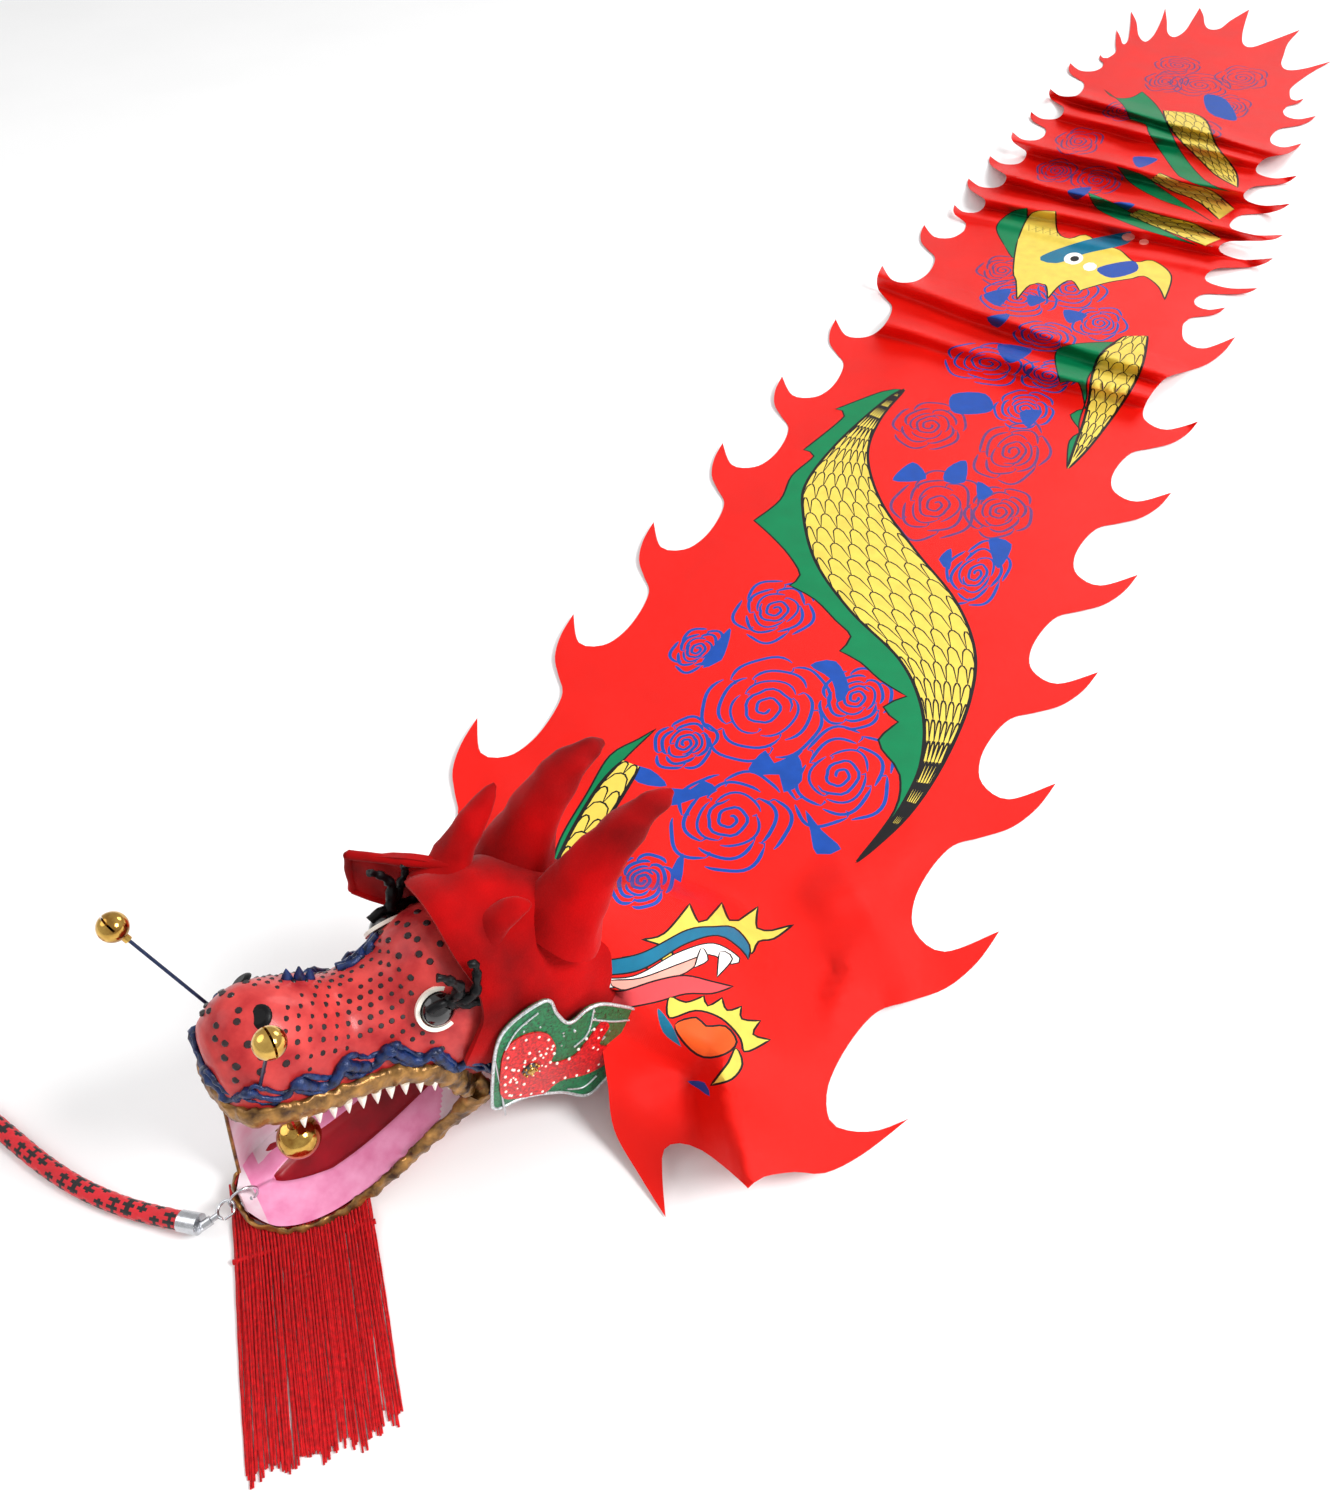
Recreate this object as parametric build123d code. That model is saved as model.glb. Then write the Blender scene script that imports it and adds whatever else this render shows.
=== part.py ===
from build123d import *
from math import cos, pi, radians, sin, sqrt, tan
import os

# Dragon-dance ribbon: a moulded dragon head with a cloth hood, a swing rope on its chin and a long
# flame-edged ribbon behind it, laid on the floor.  Millimetres, +Z up, floor at z = 0.
# +Y runs along the ribbon towards its tail; the head lies at the -Y end and is turned aside.

# ---- driving dimensions ------------------------------------------------------------------
HEAD_X, HEAD_Y = -3.0, -55.0         # middle of the neck on the floor
HEAD_TURN = 28.0                     # head turned from -Y towards -X, degrees
WALL = 2.5                           # moulded shell
GAP = 0.3                            # clearance between pieces of different bodies
LIP_OUT = 4.0                        # lips stand this far out of the shells

HALF_PANEL = 200.0                   # printed centre panel
VALLEY_X = 233.0                     # bottoms of the flame valleys
TOOTH_OUT = 80.0                     # flame tips stand out this far past the valleys
TOOTH_PITCH = 218.0
FIRST_TIP_Y = 232.0                  # first flame of the lifting part of the ribbon
CLOTH = 1.6                          # stand-in thickness of the cloth
NECK_JOINT_Y = 22.0
FOLD_A_Y, FOLD_A_END = 1300.0, 1500.0
FOLD_B_Y, FOLD_B_END = 1960.0, 2700.0
TAIL_ROUND_Y = 3240.0                # centre of the round end
TAIL_TIP_OUT = 500.0                 # reach of the middle tail flame past that centre
TAIL_SIDE_OUT = 300.0                # reach that the fan of flames falls to at its sides
ORIGIN_Y = 1626.26                   # middle of the object's length, rope left out

EYE = (129.0, 42.5, 197.0)
EYE_R = 14.0
NOSTRIL = (238.0, 17.0, 233.0)
NOSTRIL_R = 8.0
PEARL = (250.0, 3.0, 67.0)
PEARL_R = 17.5
HANGER_Z = 188.0                     # bar that the pearl hangs from
BELL_R = 11.0
WHISKER_BASE = (262.0, 36.0, 202.0)
WHISKER_LENGTH = 96.0
WHISKER_LEAN = {1: Vector(-0.16, 0.35, 0.92), -1: Vector(0.36, -0.44, 0.82)}

EAR_Y = 80.0
EAR_THICK = 3.0
EAR_PIN = (106.0, 110.0)             # local x and z of the ear's hinge

BEARD_TURN = 72.6                    # combed this far from straight ahead towards the left
BEARD_START = 131.0                  # band's distance from the neck, measured along the strings
BEARD_SIDE = 251.5                   # strings' middle, to the right of the neck across the strings
BEARD_LENGTH = 166.0
BEARD_WIDTH = 112.0

RING_C = (306.0, 22.5)               # centre of the chin ring, local x and z
RING_R, RING_WIRE = 11.5, 1.2
HOOK_DIP = 12.0                      # hook axis slopes down from the ring, degrees
ROPE_D = 16.0
ROPE_ROUTE = [(-183, -361, 12.6), (-208, -367.5, 9.6), (-240, -374, 8.4), (-277, -378, 8.2),
              (-318, -377.5, 8.1), (-360, -373, 8.1), (-402, -368, 8.1), (-440, -367, 8.1)]
COIL_C = (-452.0, -464.0)
COIL_MID_R = 89.0
GRIP_R, GRIP_LENGTH = 12.0, 72.0
GRIP_START = (COIL_C[0] - 38.3, COIL_C[1] - 1.1, GRIP_R + 0.2)
GRIP_DIR = Vector(0.643, -0.766, 0)

# Upper head sections: x, centre height, half height, half width.
SKULL = [(0, 118, 84, 60), (40, 134, 90, 67), (85, 140, 86, 67), (115, 146, 72, 61), (150, 142, 68, 54),
         (200, 152, 66, 48), (240, 160, 80, 49), (264, 158, 72, 43), (280, 168, 36, 26)]
# Lower jaw sections: x, rim height, depth under the rim, half width.
JAW = [(119, 70, 25, 51), (150, 50, 30, 48), (190, 29, 28, 48), (222, 18, 17.6, 49), (262, 13, 12.6, 47),
       (292, 15, 13.5, 36), (308, 20, 11, 17)]
MOUTH_X = 118.5                      # mouth corner
UPPER_LIP = [(118, 76), (132, 114), (162, 140), (190, 151), (216, 159), (241, 168), (264, 175), (300, 176)]
LOWER_LIP = [(118, 71), (150, 50), (190, 29), (222, 18), (262, 13), (292, 15), (320, 23)]

TO_ROW = Location((HEAD_X, HEAD_Y, 0), (0, 0, -90 - HEAD_TURN))


def lerp_table(table, x, column):
    """Value of a table column at x, straight between rows."""
    for low, high in zip(table, table[1:]):
        if x <= high[0]:
            part = (x - low[0]) / (high[0] - low[0])
            return low[column] + part * (high[column] - low[column])
    return table[-1][column]


def ellipse_at(x, z, half_width, half_height):
    """An upright ellipse across the head, facing forward."""
    return Plane(origin=(x, 0, z), x_dir=(0, 1, 0), z_dir=(1, 0, 0)) * Ellipse(half_width, half_height)


def skull_body(grow):
    """The upper head as a solid, grown outward by `grow`."""
    return loft([ellipse_at(x, z, hw + grow, hh + grow) for x, z, hh, hw in SKULL], ruled=True)


def jaw_body(grow):
    """The lower jaw as a closed solid round its rim line, grown outward by `grow`."""
    return loft([ellipse_at(x, z, hw + grow, depth + grow) for x, z, depth, hw in JAW], ruled=True)


def side_prism(points, half=130):
    """A prism across the head with the given side outline in x and z."""
    face = Plane.XZ * make_face(Polyline(*points, close=True))
    return extrude(face, amount=half, both=True)


def strip_prism(line, below, above):
    """The slab that follows a lip line from `below` under it to `above` over it."""
    low = [(x, z + below) for x, z in line]
    high = [(x, z + above) for x, z in reversed(line)]
    return side_prism(low + high)


def skull_half_width(x, z):
    """Half width of the upper head at a place on its side."""
    centre, half_height, half_width = (lerp_table(SKULL, x, i) for i in (1, 2, 3))
    reach = max(0.0, 1 - ((z - centre) / half_height) ** 2)
    return half_width * sqrt(reach)


def at_side(point, side):
    """Place of a point on the dragon's left (side 1) or right (side -1)."""
    return Pos(point[0], side * point[1], point[2])


def chin_hole():
    """Cut for the chin eyelet, through everything at the jaw's tip."""
    return Pos(306, 0, 11) * Rot(0, 90, 0) * Cylinder(4.2, 60)


def behind_mouth():
    """Everything behind the mouth's corners."""
    return side_prism([(0, 0), (119, 0), (119, 300), (0, 300)])


def both_sides(solid):
    """A piece and its mirror image across the head."""
    return [solid, mirror(solid, about=Plane.XZ)]


# ---- the moulded head ----------------------------------------------------------------------
def head_shell():
    """Upper head: a thin moulding, open at the neck and along the mouth."""
    shell = skull_body(0) - skull_body(-WALL)
    shell -= extrude(ellipse_at(-1, 118, 57.5, 81.5), amount=12)
    shell -= side_prism([(MOUTH_X, -20), (MOUTH_X, 76)] + UPPER_LIP[1:] + [(340, 176), (340, -20)])
    for side in (1, -1):
        shell -= at_side(EYE, side) * Sphere(EYE_R + GAP)
        shell -= at_side(NOSTRIL, side) * Sphere(NOSTRIL_R + GAP)
        shell -= whisker_seat(side, GAP)
    for screw in screw_solids():
        shell -= screw
    return shell


def jaw_shell():
    """Lower jaw: a shallow moulded scoop resting on the floor, with the hole for the chin ring."""
    shell = jaw_body(0) - jaw_body(-WALL)
    above = [(100, 71)] + LOWER_LIP + [(340, 23), (340, 200), (100, 200)]
    return shell - side_prism(above) - chin_hole()


def band(body, line, below, above, outer, inner):
    """A strip of a moulding's skin along a lip line."""
    strip = body(outer) & strip_prism(line, below, above)
    return strip - body(inner)


def upper_lip():
    return band(skull_body, UPPER_LIP, 1, 15, LIP_OUT, 0.1) - behind_mouth()


def blue_trim():
    trim = band(skull_body, UPPER_LIP, 16, 26, 2.5, 0.1) - behind_mouth()
    for side in (1, -1):
        trim -= at_side(WHISKER_BASE, side) * Sphere(11)
    return trim


def lower_lip():
    return band(jaw_body, LOWER_LIP, -7.5, -0.2, LIP_OUT, 0.1) - chin_hole()


def lower_gum():
    """U-shaped gum inside the lower lip."""
    hollow = loft([ellipse_at(x, z, 0.62 * hw, depth) for x, z, depth, hw in JAW], ruled=True)
    gum = (jaw_body(-WALL - 0.1) & strip_prism(LOWER_LIP, -5.0, -1.0)) - hollow
    gum -= side_prism([(90, -20), (126, -20), (126, 120), (90, 120)])
    return gum - chin_hole()


def mouth_floor():
    return (jaw_body(-WALL - 0.1) & strip_prism(LOWER_LIP, -8.5, -6.5)) - chin_hole()


def palate():
    """Roof of the mouth, with the slot that the pearl's thread swings in."""
    roof = skull_body(-WALL - 0.1) & strip_prism(UPPER_LIP, 3, 5)
    roof -= side_prism([(0, 0), (122, 0), (122, 300), (0, 300)])
    return roof - Pos(PEARL[0], PEARL[1], HANGER_Z - 14) * Box(16, 5.2, 30)


def upper_teeth():
    """Pointed teeth, one row along each side of the upper lip and round the snout."""
    teeth = []
    for i in range(12):
        x = 146 + i * 10.6
        z = lerp_table(UPPER_LIP, x, 1)
        y = skull_half_width(x, z + 2) - WALL - 5.5
        tooth = Pos(x, y, z - 4.5) * Cone(0.5, 3.2, 9)
        teeth += both_sides(tooth)
    return Compound(children=teeth)


def eyeballs():
    return Compound(children=both_sides(Pos(*EYE) * Sphere(EYE_R)))


def eye_whites():
    """White rims that stand behind and under the eyeballs."""
    rim = Pos(*EYE) * Rot(-62, 0, 0) * Pos(0, 0, 3) * (Cylinder(17.5, 3) - Cylinder(EYE_R + GAP, 4))
    return Compound(children=both_sides(rim - skull_body(0.1)))


def eyelashes():
    """Three curled lashes over each eye, cut from one stiff strip."""
    prongs = Rot(0, 90, 0) * Box(5, 26, 2.4)
    for turn in (-24, 0, 24):
        prongs += Rot(turn, 0, 0) * Pos(0, 0, 14) * Rot(0, 90, 0) * Box(26, 4, 2.4)
    lash = Pos(EYE[0] - 7, EYE[1] + 9, EYE[2] + 17) * Rot(0, 0, 50) * prongs
    return Compound(children=both_sides(lash - skull_body(0.1) - hood()))


def nostrils():
    """Dark cups let into the top of the snout."""
    cup = Sphere(NOSTRIL_R) - Pos(2, 2, 4) * Sphere(NOSTRIL_R - 1.5)
    return Compound(children=both_sides(Pos(*NOSTRIL) * cup))


def snout_crest():
    """Small pointed ridge on the right cheek edge and its mirror, from snout to brow."""
    spikes = []
    for x in (170, 186, 202):
        z = lerp_table(SKULL, x, 1) + lerp_table(SKULL, x, 2) * 0.93
        y = skull_half_width(x, z) + 1.8
        spikes += both_sides(Pos(x, y, z + 4) * Cone(3.2, 0.5, 11))
    return Compound(children=[spike - skull_body(0.1) for spike in spikes])


def neck_hoop():
    """Hoop at the back of the head that the hood and the ribbon are sewn to."""
    outer = extrude(ellipse_at(-13, 118, 60, 84), amount=12.8)
    hoop = outer - extrude(ellipse_at(-14, 118, 56, 80), amount=15)
    for screw in screw_solids():
        hoop -= screw
    return hoop


def screw_solids():
    """Screws along the head through the hoop into the shell's rear edge."""
    screws = []
    for turn in range(30, 360, 60):
        y, z = 58.6 * cos(radians(turn)), 118 + 82.6 * sin(radians(turn))
        screw = Cylinder(0.8, 15) + Pos(0, 0, -7.2) * Cylinder(1.7, 1.4)
        screws.append(Pos(-5, y, z) * Rot(0, 90, 0) * screw)
    return screws


def neck_screws():
    return Compound(children=screw_solids())


# ---- whiskers and the pearl ------------------------------------------------------------------
def whisker_plane(side):
    """Frame of one whisker: the left wire is bent back further than the right one."""
    return Plane(origin=at_side(WHISKER_BASE, side).position, z_dir=WHISKER_LEAN[side])


def whisker_seat(side, grow):
    """Plastic seat pressed into the snout, which holds the spring wire."""
    return whisker_plane(side) * Pos(0, 0, -2) * Cylinder(5.0 + grow, 8 + 2 * grow)


def whisker_seats():
    """Seats with a bore that flares both ways from its waist, so that the wire can lean."""
    bore = Pos(0, 0, -3.5) * Cone(4.3, 1.5, 7) + Pos(0, 0, 1.5) * Cone(1.5, 2.7, 3)
    return Compound(children=[whisker_seat(side, 0) - whisker_plane(side) * bore for side in (1, -1)])


def whisker_wire(side):
    return whisker_plane(side) * Pos(0, 0, WHISKER_LENGTH / 2 - 4) * Cylinder(1.3, WHISKER_LENGTH)


def whisker_bell(side):
    """Round jingle bell with its slot, and the bore that the wire is glued in."""
    bell = Sphere(BELL_R) - Sphere(BELL_R - 1.2) - Pos(0, 0, 6) * Box(24, 1.6, 12)
    bell += Pos(0, 0, -BELL_R - 1) * Cylinder(3, 5)
    bell -= Pos(0, 0, -BELL_R) * Cylinder(1.4, 8)
    return whisker_plane(side) * Pos(0, 0, WHISKER_LENGTH + 8.5) * bell


def pearl():
    """Mirror-gold bell in the mouth: crown of petals, ball and its pebble slot."""
    ball = Sphere(PEARL_R) - Sphere(PEARL_R - 1.4) - Pos(0, 0, -12) * Box(50, 2, 22)
    return Pos(*PEARL) * ball


def pearl_crown():
    petals = Pos(0, 0, PEARL_R + 1.6) * Cylinder(5, 2.6)
    for turn in range(0, 360, 60):
        petals += Rot(0, 0, turn) * Pos(7, 0, PEARL_R + 0.6) * Rot(0, 24, 0) * Cylinder(4.2, 1.6)
    crown = petals - Sphere(PEARL_R + 0.1)
    return Pos(*PEARL) * crown


def pearl_thread():
    top = HANGER_Z - 1.7
    bottom = PEARL[2] + PEARL_R + 3.0
    return Pos(PEARL[0], PEARL[1], (top + bottom) / 2) * Cylinder(1.0, top - bottom)


def pearl_hanger():
    """Bar above the palate that the pearl's thread is tied round."""
    return Pos(PEARL[0], PEARL[1], HANGER_Z) * Rot(90, 0, 0) * Cylinder(1.5, 40)


# ---- hood, horns, ears -----------------------------------------------------------------------
def hood():
    """Soft cap over the back of the head, open below and cut back round the eyes."""
    outer = loft([ellipse_at(-12, 116, 66, 91), ellipse_at(30, 140, 74, 100), ellipse_at(80, 158, 76, 98),
                  ellipse_at(116, 172, 70, 84)])
    inner = loft([ellipse_at(-13, 116, 62.8, 87.4), ellipse_at(0, 118, 62.8, 87),
                  ellipse_at(40, 134, 70, 93), ellipse_at(85, 140, 70, 89), ellipse_at(117, 146, 64, 75)])
    cap = outer - inner
    for side in (1, -1):
        cap -= at_side(EYE, side) * Sphere(EYE_R + 14)
    return cap - Pos(50, 0, 20) * Box(300, 300, 90) - skull_body(0.6)


def bent_horn(base, tip, radius, lift):
    """A soft horn: round sections shrinking along a gentle bend."""
    sections = []
    steps = 5
    for i in range(steps + 1):
        t = i / steps
        point = [b + (e - b) * t for b, e in zip(base, tip)]
        point[2] += lift * sin(pi * t)
        size = radius * (1 - t) ** 0.8 + 1.5
        direction = Vector(*[e - b for b, e in zip(base, tip)])
        sections.append(Plane(origin=tuple(point), z_dir=direction) * Circle(size))
    return loft(sections)


def horn_main(side):
    return bent_horn((20, side * 36, 205), (-76, side * 40, 300), 25, 10) - hood_outer_block()


def horn_prong(side):
    return bent_horn((88, side * 34, 228), (22, side * 46, 298), 17, 8) - hood_outer_block()


def hood_outer_block():
    """Everything inside the hood's outer face."""
    return loft([ellipse_at(-14, 116, 66.4, 91.4), ellipse_at(30, 140, 74.4, 100.4),
                 ellipse_at(80, 158, 76.4, 98.4), ellipse_at(117, 172, 70.4, 84.4)])


def ear(side):
    """Leaf-shaped ear board with a scalloped rear edge, hinged at its front edge."""
    outline = [(112, 82), (115, 108), (107, 148), (96, 176), (76, 190), (56, 192), (50, 168), (42, 150),
               (24, 153), (4, 140), (-31, 92), (-20, 66), (-2, 44), (16, 34), (34, 30), (56, 54), (86, 74)]
    plate = Plane.XZ * make_face(Polyline(*outline, close=True))
    board = Pos(0, side * EAR_Y + EAR_THICK / 2, 0) * extrude(plate, amount=EAR_THICK)
    return board - Pos(EAR_PIN[0], side * EAR_Y, EAR_PIN[1]) * Cylinder(0.85, 90)


def ear_pins():
    """Upright wire pins that the ears turn on."""
    pin = Pos(EAR_PIN[0], EAR_Y, EAR_PIN[1]) * Cylinder(0.8, 84)
    return Compound(children=both_sides(pin))


def flower_plate():
    """Five-petalled flower cut from sheet."""
    flower = Cylinder(7, 1.6)
    for turn in range(0, 360, 72):
        flower += Rot(0, 0, turn) * Pos(12, 0, 0) * Cylinder(8.5, 1.6)
    return flower


def ear_flower(side):
    """Glitter flower glued to the outer face of an ear."""
    y = side * (EAR_Y + EAR_THICK / 2 + 0.85)
    return Pos(72, y, 102) * Rot(90, 0, 0) * flower_plate()


# ---- beard -------------------------------------------------------------------------------------
def beard_at(along, across, height):
    """A place in the beard's own frame, which is turned with the combed strings."""
    place = Location((BEARD_START + along, across - BEARD_SIDE, height))
    return Location((0, 0, 0), (0, 0, BEARD_TURN)) * place


def beard_band():
    """Folded tape that the beard's strings are knotted into, beside the chin."""
    return beard_at(2, 0, 2.7) * Box(4, BEARD_WIDTH, 5)


def beard_strings():
    """The combed strings, as one flat bundle."""
    return beard_at(4.2 + BEARD_LENGTH / 2, 0, 2.2) * Box(BEARD_LENGTH, BEARD_WIDTH + 6, 4)


# ---- chin ring, snap hook and rope --------------------------------------------------------------
def chin_eyelet():
    return Pos(305.5, 0, 11) * Rot(0, 90, 0) * (Cylinder(4.0, 9) - Cylinder(2.6, 12))


def chin_ring():
    return Pos(RING_C[0], 0, RING_C[1]) * Rot(90, 0, 0) * Torus(RING_R, RING_WIRE)


def hook_location():
    dip = radians(HOOK_DIP)
    start = (RING_C[0] + RING_R * cos(dip), 0, RING_C[1] - RING_R * sin(dip))
    return Location(start) * Location((0, 0, 0), (0, HOOK_DIP, 0))


def hook_body():
    """Snap hook: an open bow through the ring, its shank and the collar of the swivel."""
    bow = Pos(4.4, 0, 0) * Torus(7.2, 1.3) - Pos(4.6, 6, 0) * Box(9.4, 8, 6)
    shank = Pos(14, 0, 0) * Rot(0, 90, 0) * Cylinder(2.6, 6)
    shank -= Pos(4.4, 0, 0) * Cylinder(5.9, 8)
    hook = bow + shank
    hook += Pos(18.2, 0, 0) * Rot(0, 90, 0) * Cylinder(1.2, 6.4)
    hook += Pos(21.6, 0, 0) * Rot(0, 90, 0) * Cylinder(2.2, 1.6)
    return hook_location() * hook


def hook_gate():
    """Sprung gate that closes the bow."""
    bar = Pos(4.3, 6.9, 0) * Rot(0, 90, 0) * Cylinder(1.0, 7.6)
    return hook_location() * bar


def swivel_eye():
    """Barrel that turns on the hook's stem, with the eye that the rope's end cap is pinned to."""
    barrel = Pos(21.2, 0, 0) * Rot(0, 90, 0) * Cylinder(4.0, 7.4)
    barrel -= Pos(18.2, 0, 0) * Rot(0, 90, 0) * Cylinder(1.25, 9)
    barrel -= Pos(21.6, 0, 0) * Rot(0, 90, 0) * Cylinder(2.5, 2.4)
    barrel += Pos(27.2, 0, 0) * Box(5, 7, 3.0)
    return hook_location() * barrel


def rope_start():
    first, second = Vector(*ROPE_ROUTE[0]), Vector(*ROPE_ROUTE[1])
    return Plane(origin=first, z_dir=second - first)


def rope_cap():
    """Crimped metal cap on the rope's near end, in the row's own frame."""
    plane = rope_start()
    cap = plane * Pos(0, 0, -8.5) * Cylinder(8.6, 17)
    return cap - TO_ROW * swivel_eye_block()


def swivel_eye_block():
    block = Pos(21.2, 0, 0) * Rot(0, 90, 0) * Cylinder(4.2, 7.8)
    block += Pos(27.2, 0, 0) * Box(5.2, 7.2, 3.2)
    return hook_location() * block


def route_radii(route):
    """Largest tangent arc at each corner of a route."""
    radii = []
    for before, at, after in zip(route, route[1:], route[2:]):
        first, second = Vector(*at) - Vector(*before), Vector(*after) - Vector(*at)
        turn = radians(first.get_angle(second))
        radii.append(0.45 * min(first.length, second.length) / tan(turn / 2))
    return radii


def rope_tube():
    radii = route_radii(ROPE_ROUTE)
    path = FilletPolyline(*ROPE_ROUTE, radius=radii)
    return sweep(rope_start() * Circle(ROPE_D / 2), path=path)


def report_rope():
    """Print the rope's arc radii and compare the tube's volume with section times length."""
    radii = route_radii(ROPE_ROUTE)
    length = FilletPolyline(*ROPE_ROUTE, radius=radii).length
    section = pi * (ROPE_D / 2) ** 2
    print("rope radii", [round(r) for r in radii], "length", round(length),
          "volume ratio", round(rope_tube().volume / (section * length), 4))


def rope_coil():
    """The put-away rope: a flat coil two turns wide."""
    ring = Cylinder(COIL_MID_R + ROPE_D, ROPE_D) - Cylinder(COIL_MID_R - ROPE_D, ROPE_D + 2)
    return Pos(COIL_C[0], COIL_C[1], ROPE_D / 2 + 0.05) * ring - rope_tube()


def hand_grip():
    """Round grip for the hand, crimped on the rope's far end and lying inside the coil."""
    across = GRIP_DIR.rotate(Axis.Z, 90)
    plane = Plane(origin=GRIP_START, x_dir=across, z_dir=GRIP_DIR)
    return plane * Pos(0, 0, GRIP_LENGTH / 2) * fillet(Cylinder(GRIP_R, GRIP_LENGTH).edges(), 4)


# ---- ribbon --------------------------------------------------------------------------------------
def flame_edge(side, tips):
    """Flame edge from the head end to the tail end: a long bulging side and a short hooked side."""
    edges = []
    for y in tips:
        start, tip = (side * VALLEY_X, y - TOOTH_PITCH + 4), (side * (VALLEY_X + TOOTH_OUT), y)
        edges.append(ThreePointArc(start, (side * (VALLEY_X + 54), y - 112), tip))
        hook = (side * (VALLEY_X + 4), y - 32)
        edges.append(ThreePointArc(tip, (side * (VALLEY_X + 36), y - 40), hook))
        edges.append(ThreePointArc(hook, (side * (VALLEY_X - 7), y - 14), (side * VALLEY_X, y + 4)))
    return edges


def flame_border(side, y_start, y_end):
    """Plain red border with flames, between two lines across the ribbon."""
    tips = [FIRST_TIP_Y + i * TOOTH_PITCH for i in range(-2, 17)]
    edges = flame_edge(side, tips)
    first, last = edges[0] @ 0, edges[-1] @ 1
    inner = side * (HALF_PANEL + 0.2)
    edges += [Line(last, (inner, last.Y)), Line((inner, last.Y), (inner, first.Y)),
              Line((inner, first.Y), first)]
    slab = extrude(make_face(edges), amount=CLOTH)
    middle, length = (y_start + y_end) / 2, y_end - y_start
    return slab & Pos(0, middle, 0) * Box(900, length, 20)


def panel(y_start, y_end):
    middle, length = (y_start + y_end) / 2, y_end - y_start
    return Pos(0, middle, CLOTH / 2) * Box(2 * HALF_PANEL, length, CLOTH)


def folds(y_start, y_end, ridges, height):
    """Cloth crumpled into upright ridges across the ribbon, as one wavy sheet."""
    steps = 10 * ridges
    top, bottom = [], []
    for i in range(steps + 1):
        t = i / steps
        wave = height * (0.5 - 0.5 * cos(2 * pi * ridges * t))
        slope = height * pi * ridges * sin(2 * pi * ridges * t) / (y_end - y_start)
        y = y_start + (y_end - y_start) * t
        bottom.append((y, wave))
        top.append((y, wave + CLOTH * sqrt(1 + slope * slope)))
    face = Plane.YZ * make_face(Polyline(*bottom, *reversed(top), close=True))
    return extrude(face, amount=VALLEY_X, both=True)


def round_tail():
    """The rounded end of the ribbon with its fan of narrow flames."""
    centre = (0, TAIL_ROUND_Y)
    disc = Pos(0, TAIL_ROUND_Y, CLOTH / 2) * Cylinder(VALLEY_X, CLOTH)
    disc = disc & Pos(0, TAIL_ROUND_Y + 150, 0) * Box(900, 300, 20)
    spikes = []
    for i in range(7):
        turn = 14 + i * (180 - 28) / 6
        reach = TAIL_SIDE_OUT + (TAIL_TIP_OUT - TAIL_SIDE_OUT) * sin(radians(turn))
        left, right = radians(turn + 11), radians(turn - 11)
        tip = radians(turn + (90 - turn) * 0.05)
        points = [(centre[0] + (VALLEY_X - 12) * cos(left), centre[1] + (VALLEY_X - 12) * sin(left)),
                  (centre[0] + reach * cos(tip), centre[1] + reach * sin(tip)),
                  (centre[0] + (VALLEY_X - 12) * cos(right), centre[1] + (VALLEY_X - 12) * sin(right))]
        spikes.append(extrude(make_face(Polyline(*points, close=True)), amount=CLOTH))
    for spike in spikes:
        disc += spike
    return disc


def front_apron():
    """Free front corner of the ribbon beside the neck, with its two hanging flames."""
    outline = [(105, NECK_JOINT_Y - 0.4), (96, -60), (104, -112), (157, -176), (150, -112), (207, -122),
               (238, -78), (303, -2), (262, -36), (240, -32), (233, 6), (236, NECK_JOINT_Y - 0.4)]
    return extrude(make_face(Polyline(*outline, close=True)), amount=CLOTH)


def neck_sleeve():
    """Cloth sleeve that gathers the ribbon's front end onto the neck hoop."""
    neck = TO_ROW * ellipse_at(-16, 104, 62, 86)
    foot = Plane(origin=(12, NECK_JOINT_Y - 6, 16), x_dir=(1, 0, 0), z_dir=(0, -1, 0)) * Ellipse(88, 14)
    return loft([foot, neck])


def write_node(node, shape):
    """Write the node's solids, without the crumbs that cutting can leave."""
    solids = [Pos(0, -ORIGIN_Y, 0) * solid for solid in shape.solids() if solid.volume > 1.0]
    export_step(solids[0] if len(solids) == 1 else Compound(children=solids), f"parts/{node}.step")


def head_pieces():
    """Pieces made in the head's frame: name and shape."""
    pieces = {"head_shell": head_shell(), "jaw_shell": jaw_shell(), "palate": palate(),
              "mouth_floor": mouth_floor(), "lower_gum": lower_gum(), "upper_teeth": upper_teeth(),
              "upper_lip": upper_lip(), "lower_lip": lower_lip(), "blue_trim": blue_trim(),
              "snout_crest": snout_crest(), "eyeballs": eyeballs(), "eye_whites": eye_whites(),
              "eyelashes": eyelashes(), "nostrils": nostrils(), "neck_hoop": neck_hoop(),
              "neck_screws": neck_screws(), "whisker_seats": whisker_seats(), "pearl": pearl(),
              "pearl_crown": pearl_crown(), "pearl_thread": pearl_thread(), "pearl_hanger": pearl_hanger(),
              "hood": hood(), "ear_pins": ear_pins(), "beard_band": beard_band(),
              "beard_strings": beard_strings(), "chin_eyelet": chin_eyelet(), "chin_ring": chin_ring(),
              "hook_body": hook_body(), "hook_gate": hook_gate(), "swivel_eye": swivel_eye()}
    for side, name in ((1, "left"), (-1, "right")):
        pieces[f"whisker_wire_{name}"] = whisker_wire(side)
        pieces[f"whisker_bell_{name}"] = whisker_bell(side)
        pieces[f"horn_{name}"] = horn_main(side)
        pieces[f"horn_prong_{name}"] = horn_prong(side)
        pieces[f"ear_{name}"] = ear(side)
        pieces[f"ear_flower_{name}"] = ear_flower(side)
    return pieces


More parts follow.
